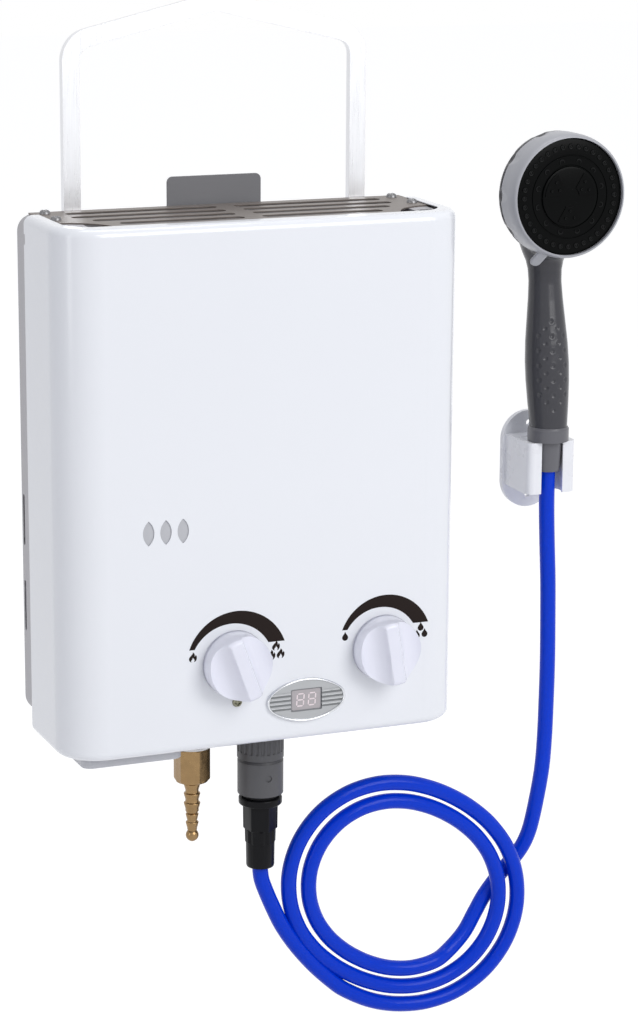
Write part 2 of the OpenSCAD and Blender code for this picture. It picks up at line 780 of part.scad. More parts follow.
// Gas manifold with one nozzle under each burner bar
module gas_manifold() {
    half = exchanger_half - chamber_t - 0.2;
    color("goldenrod")
    difference() {
        union() {
            block([-half, manifold_y + 7, manifold_top], [half, manifold_y - 7, manifold_top - manifold_h]);
            for (i = [0 : bar_count - 1])
                translate([(i - (bar_count - 1) / 2) * bar_pitch, manifold_y, manifold_top - 1])
                    cylinder(h = 7, d = 6);
        }
        x_rod(-half + 3, manifold_y, manifold_top - manifold_h / 2, 2 * half - 6, 7);
    }
}

// ---------------------------------------------------------------- gas controls

gas_thread_d = 16;

// Gas valve body, with the spindle's bore at the front
module gas_valve() {
    top = knob_z + gas_valve_h / 2;
    low = knob_z - gas_valve_h / 2;
    manifold_low = manifold_top - manifold_h;
    color("darkgray")
    difference() {
        union() {
            block([gas_knob_x - gas_valve_w / 2, gas_valve_rear_y, low],
                [gas_knob_x + gas_valve_w / 2, valve_front_y, top]);
            y_rod(gas_knob_x, knob_z, valve_front_y + 1, 6, 18);
            translate([gas_knob_x, manifold_y, top - 1]) cylinder(h = manifold_low - top + 1, d = 14);
            block([gas_knob_x - 8, manifold_y + 8, top], [gas_knob_x + 8, gas_valve_rear_y - 2, top - 9]);
            translate([gas_inlet_x, line_y, gas_nut_low + gas_nut_web + seat])
                cylinder(h = low - gas_nut_low - gas_nut_web, d = gas_thread_d);
            block([cover_screw_x - 6, valve_front_y + 3, low + 2],
                [cover_screw_x + 6, cover_in_y + seat, low - 6]);
        }
        y_rod(gas_knob_x, knob_z, valve_front_y + 22, 40, spindle_d + 2 * run_gap);
        y_rod(cover_screw_x, cover_screw_z, valve_front_y + 1, 40, screw_d + 0.2);
        x_rod(gas_knob_x + gas_valve_w / 2 - 8, rod_y, knob_z, 10, rod_d + 4 * run_gap);
    }
}

// A valve spindle: a fat plug inside the valve and a thin shaft into the knob
module spindle(x) {
    plug_l = 20;
    color("silver")
    difference() {
        union() {
            y_rod(x, knob_z, valve_front_y + plug_l, plug_l + 5, spindle_d);
            y_rod(x, knob_z, valve_front_y, valve_front_y - cover_y + shaft_out, shaft_d);
        }
        block([x - shaft_d, cover_y + 1, knob_z + shaft_d / 2 - 1],
            [x + shaft_d, cover_y - shaft_out - 1, knob_z + shaft_d]);
    }
}

module gas_spindle() { spindle(gas_knob_x); }
module water_spindle() { spindle(water_knob_x); }

// A knob with a raised finger rib between two scooped sides
module knob(x, lean) {
    skirt_h = 9;
    rib_w = 9;
    scoop_r = 30;
    profile_r = knob_d / 2;
    color("whitesmoke")
    translate([x, cover_y - seat, knob_z]) rotate([90, 0, 0]) rotate([0, 0, lean])
        difference() {
            union() {
                rotate_extrude() knob_profile(profile_r);
            }
            for (sx = [-1, 1])
                translate([sx * (rib_w / 2 + scoop_r), 0, skirt_h + scoop_r * 0.62])
                    rotate([90, 0, 0]) cylinder(h = knob_d, r = scoop_r, center = true);
            translate([0, 0, -1]) cylinder(h = shaft_out + 1.5, d = shaft_d + 2 * run_gap);
            translate([0, 0, -1]) difference() {
                cylinder(h = 7, r = profile_r - 2.5);
                cylinder(h = 7, r = shaft_d / 2 + 3);
            }
        }
}

// Half section of a knob: skirt, rounded shoulder and slightly domed top
module knob_profile(r) {
    top_r = r - 3.5;
    round_r = 4;
    difference() {
        union() {
            square([r, 6]);
            polygon([[0, 6], [r, 6], [top_r, knob_h - round_r], [top_r - round_r, knob_h], [0, knob_h]]);
            translate([top_r - round_r, knob_h - round_r]) circle(round_r);
        }
        translate([-50, -50]) square([50, 100]);
    }
}

module gas_knob() { knob(gas_knob_x, 20); }
module water_knob() { knob(water_knob_x, 9); }

gas_nut_top = bottom_z - 14;
gas_nut_low = gas_nut_top - 25;
gas_nut_web = 14;

// Brass hex nut of the gas inlet
module gas_inlet() {
    color("goldenrod")
    translate([gas_inlet_x, line_y, gas_nut_low])
        difference() {
            intersection() {
                cylinder(h = gas_nut_top - gas_nut_low, d = 26, $fn = 6);
                cylinder(h = gas_nut_top - gas_nut_low, r1 = 11.4, r2 = 30);
            }
            translate([0, 0, gas_nut_web]) cylinder(h = 60, d = gas_thread_d + 0.2);
            translate([0, 0, -1]) cylinder(h = 30, d = 7);
        }
}

module gas_washer() {
    color("silver")
    translate([gas_inlet_x, line_y, gas_nut_top + 0.2])
        difference() {
            cylinder(h = 1.6, d = 28);
            translate([0, 0, -1]) cylinder(h = 4, d = gas_thread_d + 0.4);
        }
}

// Stepped hose tail: three wide barbs, two narrow ones and a rounded end
module gas_hose_tail() {
    wide = 11.6;
    narrow = 8.7;
    end_d = 9.1;
    color("goldenrod")
    translate([gas_inlet_x, line_y, gas_nut_low])
        difference() {
            union() {
                translate([0, 0, -21]) cylinder(h = 21, d = wide - 2.2);
                for (i = [0 : 2]) translate([0, 0, -5.5 - 7.2 * i]) cylinder(h = 5, d1 = wide - 2.2,
                    d2 = wide);
                translate([0, 0, -42]) cylinder(h = 22, d = narrow - 1.9);
                for (i = [0 : 1]) translate([0, 0, -28.5 - 7.2 * i]) cylinder(h = 4.5, d1 = narrow - 1.9,
                    d2 = narrow);
                translate([0, 0, -40.5]) sphere(d = end_d);
            }
            translate([0, 0, -60]) cylinder(h = 61, d = 3.6);
        }
}

// ---------------------------------------------------------------- water controls

rod_y = line_y - 5;
valve_low = knob_z - water_valve_h / 2;

// Water valve with the threaded cold inlet below it
module water_valve() {
    stub_low = floor_z - floor_t - 11 - inlet_thread_l;
    left_x = water_knob_x - water_valve_w / 2;
    color("darkkhaki")
    difference() {
        union() {
            block([left_x, inlet_y + 14, valve_low],
                [left_x + water_valve_w, valve_front_y, valve_low + water_valve_h]);
            y_rod(water_knob_x, knob_z, valve_front_y + 1, 6, 18);
            translate([water_knob_x, inlet_y, stub_low + inlet_thread_l]) cylinder(
                h = valve_low - stub_low - inlet_thread_l + 1, d = inlet_thread_d - 1);
            translate([water_knob_x, inlet_y, stub_low]) cylinder(h = inlet_thread_l, d = inlet_thread_d);
            translate([water_knob_x, inlet_y, floor_z]) cylinder(h = 4, d = 27, $fn = 6);
        }
        y_rod(water_knob_x, knob_z, valve_front_y + 22, 40, spindle_d + 2 * run_gap);
        translate([water_knob_x, inlet_y, stub_low - 1]) cylinder(h = 26, d = filter_d + 0.4);
        translate([water_knob_x, inlet_y, stub_low]) cylinder(h = valve_low - stub_low + 3, d = 11);
        x_rod(left_x - 1, rod_y, knob_z, 9, 24);
    }
}

filter_d = 14;

// Mesh thimble in the cold inlet
module inlet_filter() {
    low = floor_z - floor_t - 11 - inlet_thread_l + 4;
    color("lightgray")
    translate([water_knob_x, inlet_y, low])
        difference() {
            cylinder(h = 16, d = filter_d);
            translate([0, 0, -1]) cylinder(h = 15.5, d = filter_d - 2);
        }
}

// Two flanged halves that clamp the diaphragm, with six screws
module diaphragm_housing() {
    right_x = water_knob_x - water_valve_w / 2;
    left_x = right_x - housing_t;
    mid = left_x + housing_t / 2;
    color("darkkhaki")
    difference() {
        union() {
            x_rod(left_x, rod_y, knob_z, housing_t, housing_d - 12);
            x_rod(mid - 6, rod_y, knob_z, 12, housing_d);
            for (i = [0 : 5])
                translate([0, rod_y, knob_z]) rotate([60 * i, 0, 0])
                    x_rod(mid - 8, housing_d / 2 - 4, 0, 16, 5);
        }
        x_rod(mid - 5, rod_y, knob_z, 10, housing_d - 16);
        x_rod(left_x - 1, rod_y, knob_z, housing_t, rod_d + 4 * run_gap);
        x_rod(mid, rod_y, knob_z, housing_t, 12);
    }
}

// Rubber diaphragm with its plate, inside the housing
module diaphragm() {
    mid = water_knob_x - water_valve_w / 2 - housing_t / 2;
    color("black")
    difference() {
        union() {
            x_rod(mid + 2, rod_y, knob_z, 1.5, housing_d - 16.6);
            x_rod(mid + 3.2, rod_y, knob_z, 1.5, 28);
        }
        x_rod(mid + 2.6, rod_y, knob_z, 4, 8);
    }
}

// Rod that carries the diaphragm's push to the gas valve
module push_rod() {
    mid = water_knob_x - water_valve_w / 2 - housing_t / 2;
    tip_x = gas_knob_x + gas_valve_w / 2 - 4;
    color("silver")
    x_rod(tip_x, rod_y, knob_z, mid + 1.8 - tip_x, rod_d);
}

// ---------------------------------------------------------------- outlet and connector

// Ribbed collar screwed on the outlet
module outlet_adaptor() {
    ribs = 24;
    color("dimgray")
    translate([outlet_x, line_y, collar_low])
        difference() {
            union() {
                cylinder(h = collar_top - collar_low, d = collar_d);
                translate([0, 0, -8]) cylinder(h = 9, d = 15.5);
            }
            for (i = [0 : ribs - 1])
                rotate([0, 0, i * 360 / ribs])
                    translate([collar_d / 2 + 0.9, 0, 5]) cylinder(h = 60, r = 1.6);
            translate([0, 0, collar_top - collar_low - 15]) cylinder(h = 16, d = inlet_thread_d + 0.2);
            translate([0, 0, -9]) cylinder(h = 60, d = 8.5);
        }
}

// Core of the quick connector, between the sleeve and the hose nut
module connector_core() {
    color("black")
    translate([outlet_x, line_y, ring_low])
        difference() {
            cylinder(h = collar_low - ring_low - 0.2, d = core_d);
            translate([0, 0, collar_low - ring_low - 11]) cylinder(h = 12, d = 15.7);
            translate([0, 0, -1]) cylinder(h = 60, d = 8.5);
        }
}

// Sleeve that is pulled down to release the connector
module connector_sleeve() {
    color("dimgray")
    translate([outlet_x, line_y, sleeve_low])
        difference() {
            union() {
                cylinder(h = collar_low - sleeve_low - seat - 2, d = sleeve_d);
                translate([0, 0, collar_low - sleeve_low - seat - 2.5]) cylinder(h = 2.5,
                    d1 = sleeve_d, d2 = sleeve_d - 3);
            }
            translate([0, 0, -1]) cylinder(h = 60, d = core_d + 0.6);
            translate([0, -sleeve_d / 2, 14]) rotate([90, 0, 0]) cylinder(h = 2, d = 5, center = true);
        }
}

module connector_ring() {
    color("black")
    translate([outlet_x, line_y, ring_low])
        difference() {
            cylinder(h = ring_top - ring_low, d = collar_d - 2.3);
            translate([0, 0, -1]) cylinder(h = 20, d = core_d + 0.1);
        }
}

// Nut that clamps the hose, fluted above and smooth below
module hose_nut() {
    color("black")
    translate([outlet_x, line_y, hose_start])
        difference() {
            union() {
                translate([0, 0, nut_low - hose_start]) cylinder(h = ring_low - nut_low, d1 = 22.5,
                    d2 = 25.6, $fn = 12);
                cylinder(h = nut_low - hose_start + 1, d = 20);
            }
            translate([0, 0, 6]) cylinder(h = 60, d = 8);
        }
}

// ---------------------------------------------------------------- electrics

module battery_box() {
    color("lightgray")
    translate([box_x, box_rear_y - box_depth / 2, box_low])
        difference() {
            linear_extrude(box_h) round_rect(box_w, box_depth, 7);
            translate([0, 0, -1]) linear_extrude(box_h + 1 - box_wall)
                round_rect(box_w - 2 * box_wall, box_depth - 2 * box_wall, 7 - box_wall);
        }
}

lid_t = 1.8;
lid_hinge_z = box_low + lid_t;
lid_hinge_y = box_rear_y - box_wall - 2.2;
lid_rod_d = 3;
lid_notch = 6;

// Lid under the batteries, hinged at the rear, where its notched corners clear the box
module battery_lid() {
    w = box_w - 2 * box_wall - 2 * seat;
    d = box_depth - 2 * box_wall - 2 * seat;
    color("gainsboro") {
        difference() {
            translate([box_x, box_rear_y - box_depth / 2, box_low])
                linear_extrude(lid_t) round_rect(w, d, 5);
            block([box_x - w, lid_hinge_y, box_low - 1], [box_x + w, box_rear_y, box_low + 3]);
            for (sx = [-1, 1])
                block([box_x + sx * (w / 2 - lid_notch), lid_hinge_y - lid_notch / 2, box_low - 1],
                    [box_x + sx * w, box_rear_y, box_low + 3]);
        }
        x_rod(box_x - w / 2 + 8, lid_hinge_y, lid_hinge_z, w - 16, lid_rod_d);
    }
}

module battery_cells() {
    z = box_low + box_h - box_wall - seat - cell_d / 2 + 0.1;
    color("darkslategray")
    for (sx = [-1, 1]) {
        y_rod(box_x + sx * (cell_d / 2 + 0.1), z, box_rear_y - box_wall - 1.5, cell_l - 2, cell_d - 0.8);
        y_rod(box_x + sx * (cell_d / 2 + 0.1), z, box_rear_y - box_wall - cell_l, 1.5, 9);
    }
}

// Pulse igniter on the pan's rear wall, above the batteries
module igniter_box() {
    low_z = box_low + box_h + 3;
    left_x = 9 - cover_w / 2;
    color("whitesmoke")
    block([left_x, pan_in_y, low_z], [left_x + 64, pan_in_y - 22, low_z + 44]);
}

// Two ceramic electrodes on a bracket at the front of the burner box
module electrodes() {
    y = fire_front_y - 6;
    z = chamber_low - 12;
    color("white")
    for (sx = [-1, 1]) {
        y_rod(sx * 22, z, fire_front_y, 14, 6);
        y_rod(sx * 22, z, fire_front_y - 13, 4, 2);
    }
    color("silver")
    block([-30, fire_front_y, z + 5], [30, fire_front_y - 1, z - 5]);
}

module overheat_switch() {
    z = wrap_high_z - 20;
    color("darkslategray") {
        y_rod(40, z, fire_front_y, 8, 15);
        block([36, fire_front_y - 7, z - 2], [44, fire_front_y - 14, z + 2]);
    }
}

window_w = 21;
window_h = 14;

// Display's circuit board and light box behind the cover
module display_module() {
    color("darkgreen")
    difference() {
        translate([bezel_x, 0, bezel_z]) upright(cover_in_y + 12, 12 - 0.2)
            round_rect(window_w + 20, 21, 2);
        translate([bezel_x, 0, bezel_z]) upright(cover_in_y + 6, 10)
            round_rect(window_w + 3, window_h + 3, 1);
    }
}

// Ellipse-like bezel outline made of four true arcs
module bezel_outline(grow) {
    w = bezel_w / 2 + grow;
    h = bezel_h / 2 + grow;
    end_r = h * 0.62;
    end_x = w - end_r;
    flat_r = (end_x * end_x + h * h - end_r * end_r) / (2 * (h - end_r));
    intersection() {
        for (i = [0]) translate([0, h - flat_r]) circle(flat_r, $fn = 96);
        translate([0, flat_r - h]) circle(flat_r, $fn = 96);
        union() {
            square([2 * end_x, 4 * h], center = true);
            for (s = [-1, 1]) translate([s * end_x, 0]) circle(end_r);
        }
    }
}

module display_bezel() {
    color("silver")
    translate([bezel_x, 0, bezel_z])
        difference() {
            union() {
                upright(cover_y, 1.6) bezel_outline(0);
                upright(cover_y, 2.6) difference() {
                    bezel_outline(0);
                    bezel_outline(-1.6);
                }
                upright(cover_y + cover_t + 0.1, cover_t + 1)
                    round_rect(window_w + 5.4, window_h + 3.4, 2);
            }
            upright(cover_y + 4, 10) round_rect(window_w, window_h, 1.2);
        }
}

module display_window() {
    color("darkred")
    translate([bezel_x, 0, bezel_z])
        upright(cover_y + cover_t, cover_t + 1.1) round_rect(window_w - 0.1, window_h - 0.1, 1.1);
}

// ---------------------------------------------------------------- carry handle

handle_rear_y = -1.3;
handle_depth = wall_gap + handle_rear_y - seat;
handle_pin_y = handle_rear_y - handle_depth / 2;
handle_pin_z = top_z - 12;
leg_x = handle_w / 2 - handle_strip / 2;

// Right half of the handle's outline: leg, shoulder bend and sloping grip half
module handle_half(w) {
    r = handle_bend_r - handle_strip / 2;
    half = w / 2;
    bend_z = top_z + handle_shoulder - 4;
    turn = 90 - handle_slope;
    slope_start = [leg_x - r + r * cos(turn), bend_z + r * sin(turn)];
    reach = 2 * handle_bend_r;
    translate([leg_x - half, handle_pin_z]) square([w, bend_z - handle_pin_z]);
    translate([leg_x - r, bend_z]) intersection() {
        difference() {
            circle(r + half);
            circle(r - half);
        }
        polygon([[0, 0], [reach, 0], [reach, reach], reach * [cos(turn) / sin(turn), 1]]);
    }
    intersection() {
        translate(slope_start) rotate(180 - handle_slope) translate([-join, -half])
            square([handle_w, w]);
        translate([0, bend_z]) square([handle_w, handle_w]);
    }
}

// Both halves of the handle's outline
module handle_outline(w) {
    handle_half(w);
    mirror([1, 0]) handle_half(w);
}

// Pressed channel handle, shaped like a shallow roof and open towards the wall
module carry_handle() {
    channel_t = 1.4;
    channel_end = 10;
    color("gainsboro")
    difference() {
        union() {
            upright(handle_rear_y, handle_depth) handle_outline(handle_strip);
            for (sx = [-1, 1])
                x_rod(sx * leg_x - handle_strip / 2, handle_pin_y, handle_pin_z, handle_strip, handle_depth);
        }
        upright(handle_rear_y + 1, handle_depth - channel_t + 1) intersection() {
            handle_outline(handle_strip - 2 * channel_t);
            translate([-handle_w, handle_pin_z + channel_end]) square([2 * handle_w, 2 * handle_w]);
        }
        for (sx = [-1, 1])
            x_rod(sx * leg_x - handle_strip, handle_pin_y, handle_pin_z, 2 * handle_strip,
                handle_pin_d + 2 * run_gap);
    }
}

ear_t = 1.5;

// Pairs of ears on the pan that carry the handle's pins
module handle_brackets() {
    color("silver")
    for (sx = [-1, 1], side = [-1, 1]) {
        inner = sx * leg_x + side * (handle_strip / 2 + seat);
        difference() {
            block([inner, pan_y, handle_pin_z - 6], [inner + side * ear_t, handle_rear_y - 0.5,
                handle_pin_z + 6]);
            x_rod(inner - 5, handle_pin_y, handle_pin_z, 10, handle_pin_d);
        }
    }
}

module handle_pins() {
    length = handle_strip + 2 * (seat + ear_t);
    color("dimgray")
    for (sx = [-1, 1])
        x_rod(sx * leg_x - length / 2, handle_pin_y, handle_pin_z, length, handle_pin_d);
}

// ---------------------------------------------------------------- wall holder and handset

holder_hole_d = 4.5;
holder_hole_gap = 54;

// Wall holder: an obround back plate and a forked cradle open to the front
module wall_holder() {
    cradle_low = cradle_top - cradle_h;
    depth = -holder_t - cradle_front_y;
    slot = 17;
    corner = 5;
    color("white")
    difference() {
        union() {
            translate([handset_x, 0, holder_mid]) upright(0, holder_t)
                rotate(90) long_hole(holder_h, holder_w);
            translate([handset_x, -holder_t - depth / 2 + corner / 2, cradle_low]) linear_extrude(cradle_h)
                round_rect(2 * cradle_half, depth + corner, corner);
        }
        block([handset_x - 30, 1, cradle_low - 1], [handset_x + 30, 10, cradle_top + 1]);
        translate([handset_x, -handset_y, cradle_low - 1]) cylinder(h = cradle_h + 2,
            d = ferrule_d + 1.2);
        block([handset_x - slot / 2, -handset_y, cradle_low - 1],
            [handset_x + slot / 2, cradle_front_y - 5, cradle_top + 1]);
        for (side = [-1, 1])
            y_rod(handset_x, holder_mid + side * holder_hole_gap / 2, 1, 8, holder_hole_d);
    }
}

// Conical nut at the end of the hose, inside the cradle
module hose_ferrule() {
    color("gray")
    translate([handset_x, -handset_y, handset_low - ferrule_h])
        difference() {
            cylinder(h = ferrule_h, d1 = ferrule_d - 2, d2 = ferrule_d);
            translate([0, 0, 5]) cylinder(h = 30, d = 8);
        }
}

module handset_collar() {
    color("gray")
    translate([handset_x, -handset_y, handset_low])
        difference() {
            union() {
                cylinder(h = collar_h - 1.5, d = handset_collar_d);
                translate([0, 0, collar_h - 1.6]) cylinder(h = 1.6, d1 = handset_collar_d,
                    d2 = handset_collar_d - 2);
            }
            translate([0, 0, -1]) cylinder(h = 30, d = 8);
        }
}

grip_l = head_z - head_d / 2 - handle_low - 3;
neck_top_z = head_z - 20;

// Half section of the handset's grip, as radii along its length
module grip_profile() {
    polygon([[0, 0], [13.6, 0], [13.9, grip_l * 0.03], [14.9, grip_l * 0.14], [15.8, grip_l * 0.27],
        [16, grip_l * 0.38], [15.4, grip_l * 0.5], [14, grip_l * 0.63], [12.6, grip_l * 0.76],
        [11.4, grip_l * 0.88], [10.8, grip_l], [0, grip_l]]);
}

// Grip, neck and back shell of the handset
module handset_body() {
    shell_r = head_d / 2 - 1.2;
    back_h = 17;
    neck_y = -handset_y + grip_l * sin(handle_lean);
    neck_z = handle_low + grip_l * cos(handle_lean);
    color("dimgray")
    difference() {
        union() {
            translate([handset_x, -handset_y, handle_low]) rotate([-handle_lean, 0, 0])
                rotate_extrude() grip_profile();
            hull() {
                translate([handset_x, neck_y, neck_z - 4]) sphere(10.8, $fn = 32);
                translate([handset_x, head_back_y + 6, head_z - 26]) sphere(8, $fn = 32);
            }
            translate([handset_x, head_back_y, head_z]) rotate([-90, 0, 0])
                rotate_extrude() head_back_profile(shell_r, back_h);
        }
        block([handset_x - 60, head_back_y, head_z - 60], [handset_x + 60, head_back_y - 40, head_z + 60]);
        block([handset_x - 40, -100, handle_low - 30], [handset_x + 40, 20, handle_low]);
        translate([handset_x, -handset_y, handle_low - 1]) cylinder(h = 20, d = 8);
    }
}

// Half section of the rounded back of the spray head
module head_back_profile(r, h) {
    polygon([[0, -0.2], [r, -0.2], [r, 2], [r - 2.4, 6], [r - 7.6, 10], [r - 15, 13.4],
        [r - 24, 15.8], [r - 34, h], [0, h + 0.2]]);
}

scallops = 9;

// Light ring round the spray head, scalloped for the thumb, with its lever tab
module spray_ring() {
    r = head_d / 2;
    color("lightgray")
    translate([handset_x, head_back_y - seat, head_z]) rotate([90, 0, 0])
        difference() {
            union() {
                cylinder(h = ring_depth - seat, r = r);
                rotate([0, 0, 245]) translate([r - 3, -5, 1]) cube([9, 10, 7]);
            }
            translate([0, 0, -1]) cylinder(h = ring_depth + 2, r = face_r);
            for (i = [0 : scallops - 1])
                rotate([0, 0, 20 + i * 360 / scallops]) translate([r + 11, 0, 5])
                    cylinder(h = ring_depth, r = 13);
        }
}

// Face plate with a raised centre
module spray_face() {
    depth = ring_depth - seat - 2;
    color("black")
    translate([handset_x, head_back_y - seat, head_z]) rotate([90, 0, 0])
        difference() {
            union() {
                cylinder(h = depth, r = face_r);
                cylinder(h = depth + 1.2, r = face_r * 0.52);
            }
            translate([0, 0, depth - 0.6]) difference() {
                cylinder(h = 2, r = face_r * 0.7 + 0.5);
                translate([0, 0, -1]) cylinder(h = 4, r = face_r * 0.7 - 0.5);
            }
        }
}

nozzles_per_ring = 40;

// Two staggered circles of spray nozzles and an inner circle of mist nozzles
module spray_nozzles() {
    depth = ring_depth - seat - 2;
    color("black")
    translate([handset_x, head_back_y - seat, head_z]) rotate([90, 0, 0]) {
        for (i = [0 : nozzles_per_ring - 1], row = [0, 1])
            rotate([0, 0, (i + row / 2) * 360 / nozzles_per_ring])
                translate([face_r * (0.88 - 0.08 * row), 0, depth]) cylinder(h = 1.2, d = 1.9);
        for (i = [0 : 11])
            rotate([0, 0, i * 30]) translate([face_r * 0.61, 0, depth]) cylinder(h = 1.2, d = 3);
    }
}

// ---------------------------------------------------------------- hose

module hose_lead() { color("royalblue") swept_tube(lead_path, hose_d, 10); }
module hose_coil() { color("royalblue") swept_tube(coil_path, hose_d, 6); }
module hose_riser() { color("royalblue") swept_tube(riser_path, hose_d, 10); }

back_pan();
hanger_plate();
lower_spacer();
hanger_rivets();
front_cover();
top_grille();
grille_screws();
cover_screw();
bottom_plate();
flue_hood();
heat_exchanger();
exchanger_tubes();
combustion_chamber();
chamber_pipe();
hot_pipe();
cold_pipe();
burner_box();
burner_bars();
gas_manifold();
gas_valve();
gas_spindle();
gas_knob();
gas_inlet();
gas_washer();
gas_hose_tail();
water_valve();
diaphragm_housing();
diaphragm();
push_rod();
water_spindle();
water_knob();
inlet_filter();
outlet_adaptor();
connector_core();
connector_sleeve();
connector_ring();
hose_nut();
battery_box();
battery_lid();
battery_cells();
igniter_box();
electrodes();
overheat_switch();
display_module();
display_bezel();
display_window();
carry_handle();
handle_brackets();
handle_pins();
wall_holder();
hose_ferrule();
handset_collar();
handset_body();
spray_ring();
spray_face();
spray_nozzles();
hose_lead();
hose_coil();
hose_riser();
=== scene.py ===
"""Looks of a portable gas water heater with its shower hose, hand shower and wall holder."""

import json
import logging
import math
from dataclasses import dataclass, field
from enum import Enum
from typing import Iterable, Sequence

import bmesh
import bpy
import numpy as np
from bpy.types import ID, Material, Node, NodeSocket, NodeTree, Object
from mathutils import Matrix, Vector


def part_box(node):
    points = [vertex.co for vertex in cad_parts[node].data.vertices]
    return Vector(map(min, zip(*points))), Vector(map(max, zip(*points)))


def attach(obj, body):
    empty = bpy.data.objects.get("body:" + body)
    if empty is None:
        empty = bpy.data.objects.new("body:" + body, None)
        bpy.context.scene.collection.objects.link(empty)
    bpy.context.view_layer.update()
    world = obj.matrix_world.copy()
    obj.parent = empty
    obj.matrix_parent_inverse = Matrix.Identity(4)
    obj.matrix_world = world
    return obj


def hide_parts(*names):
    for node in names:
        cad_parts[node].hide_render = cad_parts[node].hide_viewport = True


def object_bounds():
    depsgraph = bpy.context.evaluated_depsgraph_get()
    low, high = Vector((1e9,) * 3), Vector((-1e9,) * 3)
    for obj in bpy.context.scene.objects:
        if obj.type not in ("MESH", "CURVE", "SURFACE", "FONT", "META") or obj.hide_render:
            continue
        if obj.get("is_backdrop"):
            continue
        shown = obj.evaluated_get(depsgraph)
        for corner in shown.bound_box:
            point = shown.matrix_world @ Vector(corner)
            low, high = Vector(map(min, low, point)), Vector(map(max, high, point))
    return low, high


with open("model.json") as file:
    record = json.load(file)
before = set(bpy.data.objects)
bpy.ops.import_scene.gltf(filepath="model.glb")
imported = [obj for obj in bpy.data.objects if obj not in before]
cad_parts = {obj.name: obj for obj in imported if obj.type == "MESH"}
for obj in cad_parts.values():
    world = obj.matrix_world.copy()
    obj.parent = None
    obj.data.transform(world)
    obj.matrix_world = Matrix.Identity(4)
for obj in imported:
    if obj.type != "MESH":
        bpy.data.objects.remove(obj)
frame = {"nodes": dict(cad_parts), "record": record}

log = logging.getLogger("water_heater")

MM = 0.001
# Y of the cover's front in mm
COVER_FACE_Y = -109.0
# Edges sharper than this are rounded when a piece is softened
HARD_EDGE_DEG = 32.0
NODE_BODIES = {node: body for body, nodes in frame["record"]["behaviour"]["bodies"].items()
               for node in nodes}


# ---------------------------------------------------------------- small tools

def linear(colour: str) -> tuple[float, float, float, float]:
    """Turns an sRGB hex colour into linear values.

    Args:
        colour: Six hex digits with a leading #.

    Returns:
        Linear red, green and blue, and an alpha of 1.
    """
    parts = [int(colour[i:i + 2], 16) / 255 for i in (1, 3, 5)]
    red, green, blue = (c / 12.92 if c <= 0.04045 else ((c + 0.055) / 1.055) ** 2.4 for c in parts)
    return red, green, blue, 1.0


def add(tree: NodeTree, kind: str, links: dict | None = None,
        **settings) -> Node:
    """Adds a node with its settings, and sets or links its inputs.

    Args:
        tree: The tree that takes the node.
        kind: The node's type name.
        links: Input name or number to a socket to link from, or to a plain value.
        settings: Attributes of the node itself.

    Returns:
        The new node.
    """
    node = tree.nodes.new(kind)
    for name, value in settings.items():
        setattr(node, name, value)
    for key, value in (links or {}).items():
        if isinstance(value, NodeSocket):
            tree.links.new(value, node.inputs[key])
        else:
            node.inputs[key].default_value = value
    return node


def calc(tree: NodeTree, operation: str, *values: NodeSocket | float) -> NodeSocket:
    """Returns the result of a math node on sockets and plain values."""
    return add(tree, "ShaderNodeMath", dict(enumerate(values)), operation=operation).outputs[0]


def linked(name: str, data: ID) -> Object:
    """Makes an object of a mesh, a lamp or a camera and links it to the scene."""
    made = bpy.data.objects.new(name, data)
    bpy.context.scene.collection.objects.link(made)
    return made


def new_piece(name: str, points: Iterable[Sequence[float]], faces: Iterable[Sequence[int]] = (),
              edges: Iterable[Sequence[int]] = ()) -> Object:
    """Makes an object at the origin from points in millimetres.

    Args:
        name: The piece's name.
        points: Corner points in mm, in the shared frame.
        faces: Corner numbers of each face.
        edges: Corner numbers of loose edges, for a path.

    Returns:
        The new object, linked to the scene.
    """
    mesh = bpy.data.meshes.new(name)
    mesh.from_pydata([tuple(c * MM for c in p) for p in points], list(edges), list(faces))
    mesh.validate()
    return linked(name, mesh)


def angles(steps: int) -> list[float]:
    """Returns the angles in radians of points spread evenly round a circle."""
    return [2 * math.pi * i / steps for i in range(steps)]


def spin(u: float, v: float, angle: float) -> tuple[float, float]:
    """Turns a flat vector by an angle in radians."""
    return u * math.cos(angle) - v * math.sin(angle), u * math.sin(angle) + v * math.cos(angle)


def fold(angle: float | np.ndarray, period: float) -> float | np.ndarray:
    """Folds angles in radians into the one period that has 0 in its middle."""
    return (angle + period / 2) % period - period / 2


def bands(rings: int, steps: int, closed: bool = False) -> list[tuple[int, ...]]:
    """Returns the faces between rings of points that are numbered one ring after the other.

    Args:
        rings: Number of rings.
        steps: Points in each ring.
        closed: Whether the last ring joins the first.

    Returns:
        The corner numbers of each four-sided face.
    """
    faces = []
    for k in range(rings if closed else rings - 1):
        here, there = k * steps, (k + 1) % rings * steps
        faces += [(here + i, here + (i + 1) % steps, there + (i + 1) % steps, there + i)
                  for i in range(steps)]
    return faces


def cap(ring: int, steps: int) -> tuple[int, ...]:
    """Returns the face that closes one ring of points."""
    return tuple(range(ring * steps, (ring + 1) * steps))


